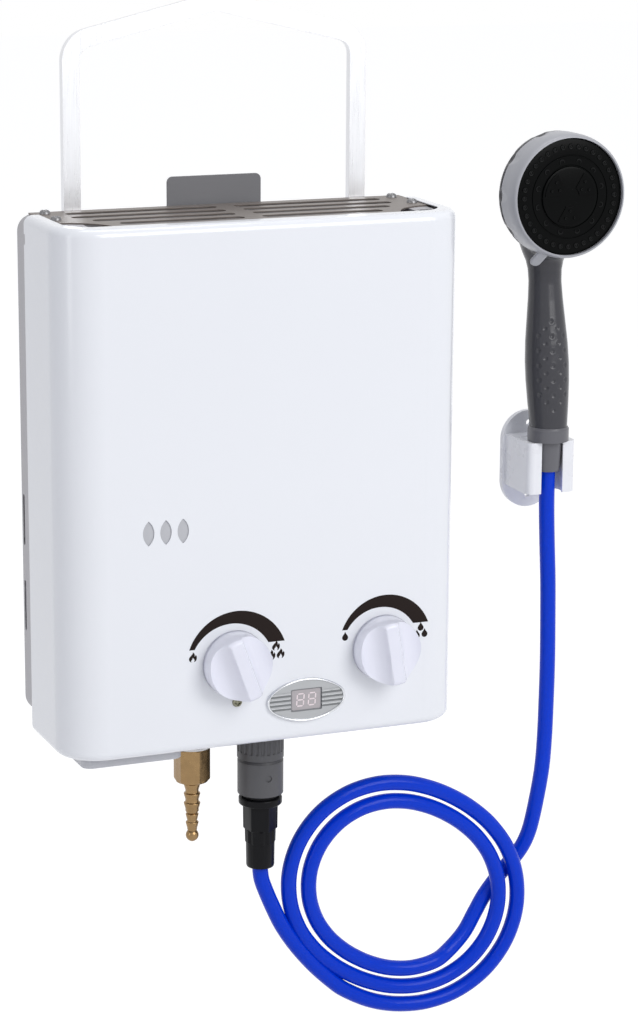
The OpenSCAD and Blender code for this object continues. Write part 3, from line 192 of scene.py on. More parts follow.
def solid(name: str, points: Iterable[Sequence[float]], faces: Iterable[Sequence[int]],
          sharp_deg: float = 0.0, merge_mm: float = 0.001) -> Object:
    """Makes a piece with its doubled points merged and its faces turned outwards.

    Args:
        name: The piece's name.
        points: Corner points in mm.
        faces: Corner numbers of each face, turned either way.
        sharp_deg: Edges sharper than this stay sharp in smooth shading; 0 for flat shading.
        merge_mm: Points closer than this become one.

    Returns:
        The piece.
    """
    piece = new_piece(name, points, faces)
    shape = bmesh.new()
    shape.from_mesh(piece.data)
    bmesh.ops.remove_doubles(shape, verts=shape.verts, dist=merge_mm * MM)
    bmesh.ops.recalc_face_normals(shape, faces=shape.faces)
    shape.to_mesh(piece.data)
    shape.free()
    if sharp_deg:
        smooth(piece, sharp_deg)
    return piece


def smooth(piece: Object, sharp_deg: float) -> None:
    """Shades a piece smooth, with sharp edges past the angle."""
    piece.data.shade_smooth()
    piece.data.set_sharp_from_angle(angle=math.radians(sharp_deg))


def settle(piece: Object) -> Object:
    """Turns a piece's modifiers into its plain mesh.

    Args:
        piece: The piece with its modifiers.

    Returns:
        The same object with the result as its mesh and no modifiers.
    """
    graph = bpy.context.evaluated_depsgraph_get()
    mesh = bpy.data.meshes.new_from_object(piece.evaluated_get(graph), preserve_all_data_layers=True,
                                           depsgraph=graph)
    piece.modifiers.clear()
    old, piece.data = piece.data, mesh
    mesh.name = piece.name
    if old.users == 0:
        bpy.data.meshes.remove(old)
    return piece


def soften(piece: Object, width_mm: float, segments: int = 3) -> None:
    """Rounds a piece's hard edges as a press or a mould leaves them.

    Args:
        piece: The piece.
        width_mm: Width of the rounding.
        segments: Faces across the rounding.
    """
    bevel = piece.modifiers.new("round", "BEVEL")
    bevel.width, bevel.segments = width_mm * MM, segments
    bevel.limit_method, bevel.angle_limit = "ANGLE", math.radians(HARD_EDGE_DEG)
    bevel.use_clamp_overlap = True
    bevel.miter_outer = "MITER_ARC"
    settle(piece)
    smooth(piece, 40)
    piece.modifiers.new("flats", "WEIGHTED_NORMAL").keep_sharp = True
    settle(piece)


def lathe(name: str, profile: Sequence[tuple[float, float]], centre: Sequence[float], steps: int,
          sharp_deg: float, axis: str = "Z") -> Object:
    """Turns a profile round an axis, as on a lathe.

    Args:
        name: The piece's name.
        profile: Radius and height pairs in mm, from one end to the other.
        centre: Where the profile's height 0 lies on the axis, in mm.
        steps: Faces round the axis.
        sharp_deg: Edges sharper than this stay sharp.
        axis: "Z" for upright, or "-Y" for an axis that points at the viewer.

    Returns:
        The turned piece.
    """
    points = []
    for radius, height in profile:
        for angle in angles(steps):
            u, v = radius * math.cos(angle), radius * math.sin(angle)
            offset = (u, v, height) if axis == "Z" else (u, -height, v)
            points.append([c + o for c, o in zip(centre, offset)])
    return solid(name, points, bands(len(profile), steps), sharp_deg)


def prism(name: str, outline: Sequence[tuple[float, float]], rear_y: float,
          depth: float) -> Object:
    """Gives a flat outline in X and Z a thickness towards the viewer.

    Args:
        name: The piece's name.
        outline: X and Z pairs in mm.
        rear_y: Y of the rear face in mm.
        depth: Thickness in mm.

    Returns:
        The solid piece.
    """
    count = len(outline)
    points = [(x, rear_y, z) for x, z in outline] + [(x, rear_y - depth, z) for x, z in outline]
    return solid(name, points, [cap(0, count), cap(1, count)[::-1], *bands(2, count)])


def joined(name: str, parts: Sequence[Object]) -> Object:
    """Joins pieces into one object.

    Args:
        name: The joined piece's name.
        parts: At least one piece; they are used up.

    Returns:
        The joined piece.
    """
    shape = bmesh.new()
    for part in parts:
        shape.from_mesh(part.data)
    mesh = bpy.data.meshes.new(name)
    shape.to_mesh(mesh)
    shape.free()
    for part in parts:
        bpy.data.meshes.remove(part.data)
    return linked(name, mesh)


def copy_of(node: str, name: str) -> Object:
    """Copies a CAD node's mesh and merges its loose triangles into clean faces.

    Args:
        node: The CAD node.
        name: The new piece's name.

    Returns:
        The copy, ready for rounding.
    """
    mesh = frame["nodes"][node].data.copy()
    mesh.name = name
    mesh.materials.clear()
    if mesh.has_custom_normals:
        mesh.attributes.remove(mesh.attributes["custom_normal"])
    shape = bmesh.new()
    shape.from_mesh(mesh)
    bmesh.ops.remove_doubles(shape, verts=shape.verts, dist=0.003 * MM)
    bmesh.ops.dissolve_limit(shape, angle_limit=math.radians(0.4), verts=shape.verts, edges=shape.edges)
    shape.to_mesh(mesh)
    shape.free()
    return linked(name, mesh)


def nut_shape(name: str, rows: Sequence[tuple[float, float, float, float]], centre: Sequence[float],
              turn_deg: float, bore: float) -> Object:
    """Makes an upright nut whose section changes between round, six-sided and fluted.

    Args:
        name: The piece's name.
        rows: Height in mm, radius in mm, share of the six-sided form from 0 to 1 and depth of the
            flutes in mm, from the top down.
        centre: X and Y of its axis in mm.
        turn_deg: Angle of one corner.
        bore: Radius of the hole through it in mm.

    Returns:
        The nut.
    """
    steps, sector = 144, math.pi / 3
    points = []
    rings = [(rows[0][0], bore, 0.0, 0.0), *rows, (rows[-1][0], bore, 0.0, 0.0)]
    for z, radius, six, flute in rings:
        for angle in angles(steps):
            side = fold(angle - math.radians(turn_deg) - sector / 2, sector)
            flat = math.cos(sector / 2) / math.cos(side)
            r = radius * (1 - six + six * flat) - flute * (0.5 + 0.5 * math.cos(12 * angle)) ** 2
            points.append((centre[0] + r * math.cos(angle), centre[1] + r * math.sin(angle), z))
    return solid(name, points, bands(len(rings), steps, closed=True), 22)


# ---------------------------------------------------------------- finishes

@dataclass(frozen=True)
class Finish:
    """A surface finish with its colour and gloss; the kinds below add their own grain."""

    name: str
    colour: str
    roughness: float = 0.4
    metallic: float = 0.0
    ior: float = 1.5
    coat: float = 0.0

    def material(self) -> Material:
        """Returns the finish's material, made once."""
        found = bpy.data.materials.get(self.name)
        if found:
            return found
        made = bpy.data.materials.new(self.name)
        made.use_nodes = True
        tree = made.node_tree
        shader = tree.nodes["Principled BSDF"]
        shader.inputs["Base Color"].default_value = linear(self.colour)
        shader.inputs["Roughness"].default_value = self.roughness
        shader.inputs["Metallic"].default_value = self.metallic
        if not self.metallic:
            shader.inputs["IOR"].default_value = self.ior
        shader.inputs["Coat Weight"].default_value = self.coat
        shader.inputs["Coat Roughness"].default_value = 0.08
        self.grain(tree, shader)
        return made

    def grain(self, tree: NodeTree, shader: Node) -> None:
        """Adds the finish's own pattern; a plain finish varies a little in shade and gloss."""
        self.vary(tree, shader, self.noise(tree, 40.0, 2.0), 0.04, 0.05)

    def place(self, tree: NodeTree,
              stretch: tuple[float, float, float] = (1, 1, 1)) -> NodeSocket:
        """Returns the surface's own coordinates, stretched along the axes."""
        where = add(tree, "ShaderNodeTexCoord").outputs["Object"]
        return add(tree, "ShaderNodeMapping", {"Vector": where, "Scale": stretch}).outputs[0]

    def noise(self, tree: NodeTree, per_metre: float, detail: float = 2.0,
              stretch: tuple[float, float, float] = (1, 1, 1)) -> NodeSocket:
        """Returns a noise value.

        Args:
            tree: The material's tree.
            per_metre: Waves in one metre.
            detail: Octaves of detail.
            stretch: Scale along each axis.

        Returns:
            The noise's value socket.
        """
        where = self.place(tree, stretch)
        return add(tree, "ShaderNodeTexNoise", {"Vector": where, "Scale": per_metre,
                                                "Detail": detail}).outputs[0]

    def vary(self, tree: NodeTree, shader: Node, value: NodeSocket,
             shade: float, gloss: float) -> None:
        """Lets a value change the colour's brightness and the roughness.

        Args:
            tree: The material's tree.
            shader: The surface shader.
            value: A value from 0 to 1.
            shade: Share by which the colour darkens and lightens.
            gloss: Amount by which the roughness goes up and down.
        """
        red, green, blue, _ = linear(self.colour)
        dark = [c * (1 - shade) for c in (red, green, blue)] + [1]
        light = [min(1.0, c * (1 + shade)) for c in (red, green, blue)] + [1]
        mix = add(tree, "ShaderNodeMix", {0: value, 6: dark, 7: light}, data_type="RGBA")
        tree.links.new(mix.outputs[2], shader.inputs["Base Color"])
        rough = add(tree, "ShaderNodeMapRange", {
            "Value": value, "To Min": max(0.02, self.roughness - gloss),
            "To Max": min(1.0, self.roughness + gloss)})
        tree.links.new(rough.outputs[0], shader.inputs["Roughness"])

    def bump(self, tree: NodeTree, shader: Node, height: NodeSocket,
             depth_mm: float) -> None:
        """Gives the surface relief from a height value of 0 to 1."""
        relief = add(tree, "ShaderNodeBump", {"Height": height, "Distance": depth_mm * MM})
        tree.links.new(relief.outputs[0], shader.inputs["Normal"])


@dataclass(frozen=True)
class StoveEnamel(Finish):
    """Sprayed and baked enamel on sheet: even gloss with a faint orange peel."""

    peel_mm: float = 3.0

    def grain(self, tree: NodeTree, shader: Node) -> None:
        """Adds the orange peel of the sprayed coat."""
        self.vary(tree, shader, self.noise(tree, 9.0, 2.0), 0.012, 0.02)
        self.bump(tree, shader, self.noise(tree, 1000 / self.peel_mm, 1.0), 0.012)


@dataclass(frozen=True)
class GalvanisedSheet(Finish):
    """Hot-dipped zinc on sheet steel: dull grey with a spangle of frost-like crystals."""

    spangle_mm: float = 7.0

    def grain(self, tree: NodeTree, shader: Node) -> None:
        """Adds the zinc crystals, each with its own shade and gloss."""
        where = self.place(tree)
        cells = add(tree, "ShaderNodeTexVoronoi", {"Vector": where, "Scale": 1000 / self.spangle_mm},
                    feature="F1", distance="CHEBYCHEV")
        grey = add(tree, "ShaderNodeSeparateColor", {"Color": cells.outputs["Color"]}).outputs[0]
        self.vary(tree, shader, grey, 0.09, 0.10)
        self.bump(tree, shader, self.noise(tree, 900, 3.0), 0.01)


@dataclass(frozen=True)
class BrushedMetal(Finish):
    """Metal ground along one direction: fine scratches that pull the highlights out."""

    along: str = "X"
    scratch_mm: float = 0.5
    depth_mm: float = 0.012

    def grain(self, tree: NodeTree, shader: Node) -> None:
        """Adds long scratches; real ones are finer than a pixel, so they are drawn coarser."""
        stretch = {"X": (0.02, 1, 1), "Y": (1, 0.02, 1), "Z": (1, 1, 0.02)}[self.along]
        lines = self.noise(tree, 1000 / self.scratch_mm, 3.0, stretch)
        self.vary(tree, shader, lines, 0.07, 0.08)
        self.bump(tree, shader, lines, self.depth_mm)


@dataclass(frozen=True)
class TurnedBrass(Finish):
    """Brass cut on a lathe and handled: fine tool rings and a patchy warm tarnish."""

    ring_mm: float = 0.6

    def grain(self, tree: NodeTree, shader: Node) -> None:
        """Adds tool rings along Z and tarnish."""
        where = self.place(tree)
        rings = add(tree, "ShaderNodeTexWave", {"Vector": where, "Scale": 1000 / self.ring_mm / 20,
                                                "Distortion": 0.4, "Detail": 1.0},
                    wave_type="BANDS", bands_direction="Z")
        self.vary(tree, shader, self.noise(tree, 160, 4.0), 0.22, 0.10)
        self.bump(tree, shader, rings.outputs["Fac"], 0.02)


@dataclass(frozen=True)
class Moulded(Finish):
    """Injection-moulded plastic: the mould's fine texture and a faint unevenness."""

    texture_mm: float = 0.7
    depth_mm: float = 0.01

    def grain(self, tree: NodeTree, shader: Node) -> None:
        """Adds the mould's texture."""
        self.vary(tree, shader, self.noise(tree, 60, 3.0), 0.035, 0.04)
        self.bump(tree, shader, self.noise(tree, 1000 / self.texture_mm, 2.0), self.depth_mm)


@dataclass(frozen=True)
class SoftPvc(Finish):
    """Smooth flexible PVC over a braid: glossy, with faint dashes along the hose that are partly the braid
    and partly painted highlights on it.
    """

    dash_mm: float = 3.2
    strands: float = 26

    def grain(self, tree: NodeTree, shader: Node) -> None:
        """Adds the braid that shows through the skin, along the hose's own length and girth, with painted
        highlights on it in the colour.
        """
        along = add(tree, "ShaderNodeAttribute", attribute_name="along").outputs["Fac"]
        around = add(tree, "ShaderNodeAttribute", attribute_name="around").outputs["Fac"]
        where = add(tree, "ShaderNodeCombineXYZ", {"X": along, "Y": around}).outputs[0]
        laid = add(tree, "ShaderNodeMapping", {
            "Vector": where, "Scale": (1000 / self.dash_mm, self.strands, 1)}).outputs[0]
        braid_and_highlight_dashes = add(tree, "ShaderNodeTexNoise", {"Vector": laid, "Scale": 1.0, "Detail": 1.0}).outputs[0]
        # the lighter and darker dashes in the colour are partly the braid's tone and partly painted
        # highlights on it; the bump is real relief
        self.vary(tree, shader, braid_and_highlight_dashes, 0.10, 0.05)
        self.bump(tree, shader, braid_and_highlight_dashes, 0.05)


@dataclass(frozen=True)
class BandedPlate(Finish):
    """Brushed display plate with level pressed bands in two greys."""

    dark: str = "#77797B"
    pitch_mm: float = 3.1
    mid_z_mm: float = -312.0
    band_half_mm: float = 6.2
    step_half: float = 0.35
    band_depth: float = 12.0

    def grain(self, tree: NodeTree, shader: Node) -> None:
        """Adds the bands beside the window, and fine brushing along X."""
        where = self.place(tree)
        height = add(tree, "ShaderNodeSeparateXYZ", {"Vector": where}).outputs["Z"]
        level = calc(tree, "SUBTRACT", height, self.mid_z_mm * MM)
        sine = calc(tree, "SINE", calc(tree, "MULTIPLY", level, 2 * math.pi / (self.pitch_mm * MM)))
        step = add(tree, "ShaderNodeMapRange", {
            "Value": sine, "From Min": -self.step_half, "From Max": self.step_half}).outputs[0]
        inside = calc(tree, "LESS_THAN", calc(tree, "ABSOLUTE", level), self.band_half_mm * MM)
        share = calc(tree, "MULTIPLY", step, inside)
        mix = add(tree, "ShaderNodeMix", {0: share, 6: linear(self.colour), 7: linear(self.dark)},
                  data_type="RGBA")
        tree.links.new(mix.outputs[2], shader.inputs["Base Color"])
        lines = self.noise(tree, 2200, 2.0, (0.03, 1, 1))
        self.bump(tree, shader, calc(tree, "MULTIPLY_ADD", share, self.band_depth, lines), 0.02)


ENAMEL = StoveEnamel("stove_enamel_white", "#EDEFF3", roughness=0.2, coat=0.2)
ZINC_SHEET = GalvanisedSheet("galvanised_sheet", "#ACABAF", roughness=0.48, metallic=0.55)
PLATE_STEEL = BrushedMetal("grey_coated_steel", "#77777A", roughness=0.52, metallic=0.25, depth_mm=0.006)
GRILLE_STEEL = BrushedMetal("warm_brushed_steel", "#756D68", roughness=0.42, metallic=0.35)
BRIGHT_ZINC = BrushedMetal("bright_zinc_plate", "#B9B9BC", roughness=0.26, metallic=0.9, along="Z")
SCREW_ZINC = BrushedMetal("dull_zinc_screw", "#7C7C7E", roughness=0.34, metallic=0.7, along="Z")
SATIN_ALUMINIUM = BrushedMetal("satin_anodised_aluminium", "#E6E7EA", roughness=0.3, metallic=0.8,
                               along="Z")
BRASS = TurnedBrass("turned_brass", "#957A56", roughness=0.26, metallic=0.95)
COPPER = TurnedBrass("drawn_copper", "#B87650", roughness=0.38, metallic=0.95, ring_mm=2.0)
CAST_ALLOY = Moulded("die_cast_alloy", "#9A9A9D", roughness=0.5, metallic=0.6, texture_mm=1.2,
                     depth_mm=0.03)
KNOB_PLASTIC = Moulded("gloss_white_abs", "#E9EAF5", roughness=0.24, coat=0.25, depth_mm=0.004)
HOLDER_PLASTIC = Moulded("smooth_white_abs", "#EDEEF2", roughness=0.28, coat=0.15, depth_mm=0.004)
BOX_PLASTIC = Moulded("light_grey_abs", "#CDCED3", roughness=0.42)
MICA = Moulded("mica_pane", "#BDBEC2", roughness=0.24, texture_mm=4.0)
CONNECTOR_GREY = Moulded("grey_nylon", "#505053", roughness=0.46)
CONNECTOR_BLACK = Moulded("black_nylon", "#111114", roughness=0.32, ior=1.22)
GRIP_GREY = Moulded("gloss_dark_grey_abs", "#3D3D42", roughness=0.2, ior=1.42, depth_mm=0.004)
COLLAR_GREY = Moulded("mid_grey_abs", "#616166", roughness=0.3)
RING_GREY = Moulded("silver_grey_abs", "#A7A8AD", roughness=0.34)
FACE_BLACK = Moulded("gloss_black_abs", "#060707", roughness=0.26, ior=1.15, depth_mm=0.004)
NOZZLE_RUBBER = Moulded("silicone_rubber", "#0B0C0D", roughness=0.3, ior=1.25)
HOSE_BLUE = SoftPvc("blue_soft_pvc", "#003ACE", roughness=0.2, ior=1.24)
PRINT_BROWN = Finish("screen_print_dark", "#1C120F", roughness=0.5, ior=1.25)
CHROME = BrushedMetal("polished_chrome", "#D4D6DA", roughness=0.12, metallic=1.0, depth_mm=0.002)
DISPLAY_PLATE = BandedPlate("brushed_display_plate", "#AEB0B2", roughness=0.36, metallic=0.7)
WINDOW_FRAME = Moulded("display_frame", "#8A8B8E", roughness=0.4)
WINDOW = Moulded("tinted_acrylic", "#AFA9AB", roughness=0.14, coat=0.2, depth_mm=0.002)
DIGIT = Finish("unlit_segments", "#EADDDF", roughness=0.3)
SCREW_OLIVE = BrushedMetal("passivated_screw", "#8B8A78", roughness=0.34, metallic=0.8, along="Z")
CERAMIC = Moulded("glazed_ceramic", "#E0DED4", roughness=0.2)
BOARD = Moulded("solder_mask", "#2B5A3A", roughness=0.4)
CELL_WRAP = Moulded("cell_wrap", "#3B3D42", roughness=0.3)
RUBBER = Moulded("black_rubber", "#17171A", roughness=0.6, texture_mm=1.0)

# The finish of each CAD node that stays as it is
NODE_FINISHES: dict[str, Finish] = {node: finish for finish, nodes in (
    (ZINC_SHEET, "bottom_plate flue_hood burner_box handle_brackets"),
    (COPPER, "heat_exchanger exchanger_tubes combustion_chamber chamber_pipe hot_pipe cold_pipe"),
    (BRIGHT_ZINC, "burner_bars gas_spindle water_spindle push_rod inlet_filter handle_pins"),
    (BRIGHT_ZINC, "hanger_rivets"), (CAST_ALLOY, "gas_valve"),
    (BRASS, "gas_manifold water_valve diaphragm_housing"),
    (RUBBER, "diaphragm overheat_switch"), (CONNECTOR_BLACK, "connector_core"),
    (CELL_WRAP, "battery_cells"), (KNOB_PLASTIC, "igniter_box"), (CERAMIC, "electrodes"),
    (BOARD, "display_module")) for node in nodes.split()}


# ---------------------------------------------------------------- node recipes

class Recipe:
    """A Geometry Nodes tree with named sizes, built once and used for one kind of repeated piece."""

    def __init__(self, name: str, sizes: dict[str, str]) -> None:
        """Starts a tree.

        Args:
            name: The tree's name.
            sizes: Input names with their socket types.
        """
        self.tree = bpy.data.node_groups.new(name, "GeometryNodeTree")
        self.tree.interface.new_socket("Geometry", in_out="INPUT", socket_type="NodeSocketGeometry")
        for size, kind in sizes.items():
            self.tree.interface.new_socket(size, in_out="INPUT", socket_type=kind)
        self.tree.interface.new_socket("Geometry", in_out="OUTPUT", socket_type="NodeSocketGeometry")
        self.given = add(self.tree, "NodeGroupInput").outputs
        self.result = add(self.tree, "NodeGroupOutput")

    def end(self, geometry: NodeSocket) -> None:
        """Ends the tree in Realize Instances and Set Material.

        Args:
            geometry: The geometry to hand over.
        """
        real = add(self.tree, "GeometryNodeRealizeInstances", {"Geometry": geometry}).outputs[0]
        dressed = add(self.tree, "GeometryNodeSetMaterial", {
            "Geometry": real, "Material": self.given["Material"]})
        self.tree.links.new(dressed.outputs[0], self.result.inputs[0])

    def make(self, name: str, base: Object, **values) -> Object:
        """Runs the tree on an object and keeps the result as its plain mesh.

        Args:
            name: The finished piece's name.
            base: The object that the tree starts from.
            values: The tree's inputs by name, with spaces written as underscores.

        Returns:
            The finished piece.
        """
        modifier = base.modifiers.new(self.tree.name, "NODES")
        modifier.node_group = self.tree
        for item in self.tree.interface.items_tree:
            key = item.name.replace(" ", "_")
            if item.in_out == "INPUT" and key in values:
                modifier[item.identifier] = values[key]
        base.update_tag()
        bpy.context.view_layer.update()
        settle(base)
        base.name = name
        return base


def ring_recipe() -> Recipe:
    """Returns the tree that sets copies of a piece round an axis that points at the viewer or up."""
    recipe = Recipe("ring_of_pieces", {
        "Piece": "NodeSocketObject", "Count": "NodeSocketInt", "Radius": "NodeSocketFloat",
        "Start": "NodeSocketFloat", "Material": "NodeSocketMaterial"})
    tree, given = recipe.tree, recipe.given
    circle = add(tree, "GeometryNodeMeshCircle", {"Vertices": given["Count"], "Radius": given["Radius"]})
    index = add(tree, "GeometryNodeInputIndex").outputs[0]
    angle = calc(tree, "MULTIPLY", calc(tree, "DIVIDE", index, given["Count"]), 2 * math.pi)
    turn = add(tree, "ShaderNodeCombineXYZ", {"Z": angle}).outputs[0]
    piece = add(tree, "GeometryNodeObjectInfo", {"Object": given["Piece"]}).outputs["Geometry"]
    set_round = add(tree, "GeometryNodeInstanceOnPoints", {
        "Points": circle.outputs[0], "Instance": piece, "Rotation": turn}).outputs[0]
    start = add(tree, "ShaderNodeCombineXYZ", {"Z": given["Start"]}).outputs[0]
    turned = add(tree, "GeometryNodeTransform", {"Geometry": set_round, "Rotation": start}).outputs[0]
    recipe.end(turned)
    return recipe


def place_recipe() -> Recipe:
    """Returns the tree that sets a copy of a piece on each of the given points."""
    recipe = Recipe("pieces_on_points", {"Piece": "NodeSocketObject", "Material": "NodeSocketMaterial"})
    tree, given = recipe.tree, recipe.given
    piece = add(tree, "GeometryNodeObjectInfo", {"Object": given["Piece"]}).outputs["Geometry"]
    recipe.end(add(tree, "GeometryNodeInstanceOnPoints", {
        "Points": given["Geometry"], "Instance": piece}).outputs[0])
    return recipe


def hose_recipe() -> Recipe:
    """Returns the tree that draws a round hose along a path, with its length and girth as attributes."""
    recipe = Recipe("hose_along_path", {"Radius": "NodeSocketFloat", "Sides": "NodeSocketInt",
                                        "Material": "NodeSocketMaterial"})
    tree, given = recipe.tree, recipe.given

    def marked(curve: NodeSocket, name: str, measure: str) -> NodeSocket:
        """Stores how far along the curve each of its points lies, under the given name."""
        value = add(tree, "GeometryNodeSplineParameter").outputs[measure]
        return add(tree, "GeometryNodeStoreNamedAttribute", {
            "Geometry": curve, "Name": name, "Value": value}, data_type="FLOAT",
            domain="POINT").outputs[0]

    path = add(tree, "GeometryNodeMeshToCurve", {"Mesh": given["Geometry"]}).outputs[0]
    girth = add(tree, "GeometryNodeCurvePrimitiveCircle", {
        "Resolution": given["Sides"], "Radius": given["Radius"]}).outputs[0]
    tube = add(tree, "GeometryNodeCurveToMesh", {
        "Curve": marked(path, "along", "Length"), "Profile Curve": marked(girth, "around", "Factor"),
        "Fill Caps": True}).outputs[0]
    recipe.end(add(tree, "GeometryNodeSetShadeSmooth", {"Geometry": tube}).outputs[0])
    return recipe


# ---------------------------------------------------------------- sub-assemblies

# CAD node, new name, finish and rounding in mm of a node that a refined copy replaces
Refined = tuple[str, str, Finish, float]


@dataclass
class SubAssembly:
    """Shared ways of dressing a piece and tying it to its CAD body."""

    refined: tuple[Refined, ...] = ()
    # CAD nodes that stay and only take their finish
    painted: tuple[str, ...] = ()
    made: list[str] = field(default_factory=list, init=False)

    def build(self) -> None:
        """Refines and paints the listed nodes."""
        for row in self.refined:
            self.refine(*row)
        self.paint(*self.painted)

    def dress(self, piece: Object, finish: Finish, stands_for: Sequence[str] = (),
              body: str = "", with_recipe: bool = False) -> Object:
        """Gives a piece its finish and its body.

        Args:
            piece: The finished mesh.
            finish: Its finish.
            stands_for: CAD nodes that it replaces.
            body: The CAD body, when it replaces no node.
            with_recipe: Whether a recipe has set the material already.

        Returns:
            The piece.
        """
        if not with_recipe:
            piece.data.materials.clear()
            piece.data.materials.append(finish.material())
        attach(piece, body or NODE_BODIES[stands_for[0]])
        if stands_for:
            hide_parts(*stands_for)
        self.made.append(piece.name)
        return piece

    def refine(self, node: str, name: str, finish: Finish, round_mm: float) -> Object:
        """Replaces a CAD node by a copy with rounded edges and clean shading.

        Args:
            node: The CAD node.
            name: The piece's name.
            finish: Its finish.
            round_mm: Width of the rounding.

        Returns:
            The piece.
        """
        piece = copy_of(node, name)
        soften(piece, round_mm)
        return self.dress(piece, finish, [node])

    def paint(self, *nodes: str) -> None:
        """Gives CAD nodes that stay their finish."""
        for node in nodes:
            mesh = frame["nodes"][node].data
            mesh.materials.clear()
            mesh.materials.append(NODE_FINISHES[node].material())
            self.made.append(node)

    def report(self) -> None:
        """Logs the pieces."""
        log.info("%s: %s", type(self).__name__, ", ".join(self.made))


@dataclass
class Studio:
    """Camera, lamps, floor and backdrop."""

    eye: tuple[float, float, float] = (-0.711141, -1.927204, 0.293806)
    yaw: float = 0.3897
    pitch: float = 0.2367
    roll: float = 0.006
    lens: float = 104.57
    floor_gap: float = 0.02
    floor_half: float = 9.0
    floor_shade: float = 0.35
    floor_glow: float = 0.85
    world_light: float = 0.45
    # name, place, aim, width and height in metres, and watts of each soft box
    lamps: tuple[tuple, ...] = (
        ("key_box", (0.9, -2.2, 1.1), (0.05, -0.05, -0.15), (1.6, 1.6), 35),
        ("side_box", (-2.2, -0.7, 0.4), (-0.1, -0.05, -0.15), (0.5, 1.8), 6),
        ("top_box", (0.1, 0.2, 1.9), (0.05, -0.05, 0), (1.2, 0.8), 10))

    def camera(self) -> None:
        """Sets the camera at the photograph's place, angle and lens."""
        forward = Vector((math.sin(self.yaw) * math.cos(self.pitch),
                          math.cos(self.yaw) * math.cos(self.pitch), -math.sin(self.pitch)))
        right = Vector((math.cos(self.yaw), -math.sin(self.yaw), 0))
        up = right.cross(forward)
        tilt_right = right * math.cos(self.roll) + up * math.sin(self.roll)
        tilt_up = up * math.cos(self.roll) - right * math.sin(self.roll)
        data = bpy.data.cameras.new("camera")
        data.lens, data.sensor_width, data.sensor_fit = self.lens, 36.0, "AUTO"
        data.clip_start, data.clip_end = 0.1, 30
        columns = (tilt_right, tilt_up, -forward, Vector(self.eye))
        camera = linked("camera", data)
        camera.matrix_world = Matrix([[column[row] for column in columns] for row in range(3)]
                                     + [[0, 0, 0, 1]])
        bpy.context.scene.camera = camera

    def lamp(self, name: str, place: Sequence[float], aim: Sequence[float], size: tuple[float, float],
             power: float) -> None:
        """Adds a soft box.

        Args:
            name: The lamp's name.
            place: Where it stands, in metres.
            aim: The point that it faces.
            size: Width and height in metres.
            power: Watts.
        """
        data = bpy.data.lights.new(name, "AREA")
        data.shape, data.size, data.size_y = "RECTANGLE", size[0], size[1]
        data.energy = power
        lamp = linked(name, data)
        lamp.location = place
        lamp.rotation_euler = (Vector(aim) - Vector(place)).to_track_quat("-Z", "Y").to_euler()

    def is_ray(self, tree: NodeTree, *kinds: str) -> NodeSocket:
        """Returns a value that is 1 for the named kinds of ray and 0 for the others."""
        rays = add(tree, "ShaderNodeLightPath").outputs
        value = rays[kinds[0]]
        for kind in kinds[1:]:
            value = calc(tree, "MAXIMUM", value, rays[kind])
        return value

    def world(self) -> None:
        """Lights the scene evenly, and shows white to the camera, in gloss and through glass."""
        world = bpy.data.worlds.new("studio")
        bpy.context.scene.world = world
        world.use_nodes = True
        tree = world.node_tree
        tree.nodes.clear()
        seen = self.is_ray(tree, "Is Camera Ray", "Is Glossy Ray", "Is Transmission Ray")
        light = add(tree, "ShaderNodeBackground", {
            "Color": linear("#F4F6FF"), "Strength": self.world_light})
        white = add(tree, "ShaderNodeBackground", {"Color": (1, 1, 1, 1), "Strength": 1.0})
        mix = add(tree, "ShaderNodeMixShader", {0: seen, 1: light.outputs[0], 2: white.outputs[0]})
        add(tree, "ShaderNodeOutputWorld", {"Surface": mix.outputs[0]})

    def floor(self, lowest: float) -> None:
        """Lays a pale floor below the object, which shows white with the object's shadow.

        Args:
            lowest: The object's lowest height in metres.
        """
        level, half = (lowest - self.floor_gap) / MM, self.floor_half / MM
        floor = new_piece("floor", [(x, y, level) for x, y in (
            (-half, -half), (half, -half), (half, half), (-half, half))], [(0, 1, 2, 3)])
        made = bpy.data.materials.new("matt_white_floor")
        made.use_nodes = True
        tree = made.node_tree
        tree.nodes.clear()
        matt = add(tree, "ShaderNodeBsdfDiffuse", {"Color": linear("#F2F2F2")})
        shaded = add(tree, "ShaderNodeBsdfDiffuse", {"Color": (*[self.floor_shade] * 3, 1)})
        glow = add(tree, "ShaderNodeEmission", {"Color": (1, 1, 1, 1), "Strength": self.floor_glow})
        white = add(tree, "ShaderNodeAddShader", {0: shaded.outputs[0], 1: glow.outputs[0]})
        seen = self.is_ray(tree, "Is Camera Ray", "Is Glossy Ray")
        mix = add(tree, "ShaderNodeMixShader", {0: seen, 1: matt.outputs[0], 2: white.outputs[0]})
        add(tree, "ShaderNodeOutputMaterial", {"Surface": mix.outputs[0]})
        floor.data.materials.append(made)
        floor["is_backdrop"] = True

    def build(self, lowest: float) -> None:
        """Sets up the whole studio."""
        self.camera()
        self.world()
        self.floor(lowest)
        for lamp in self.lamps:
            self.lamp(*lamp)
        bpy.context.scene.view_settings.view_transform = "Standard"


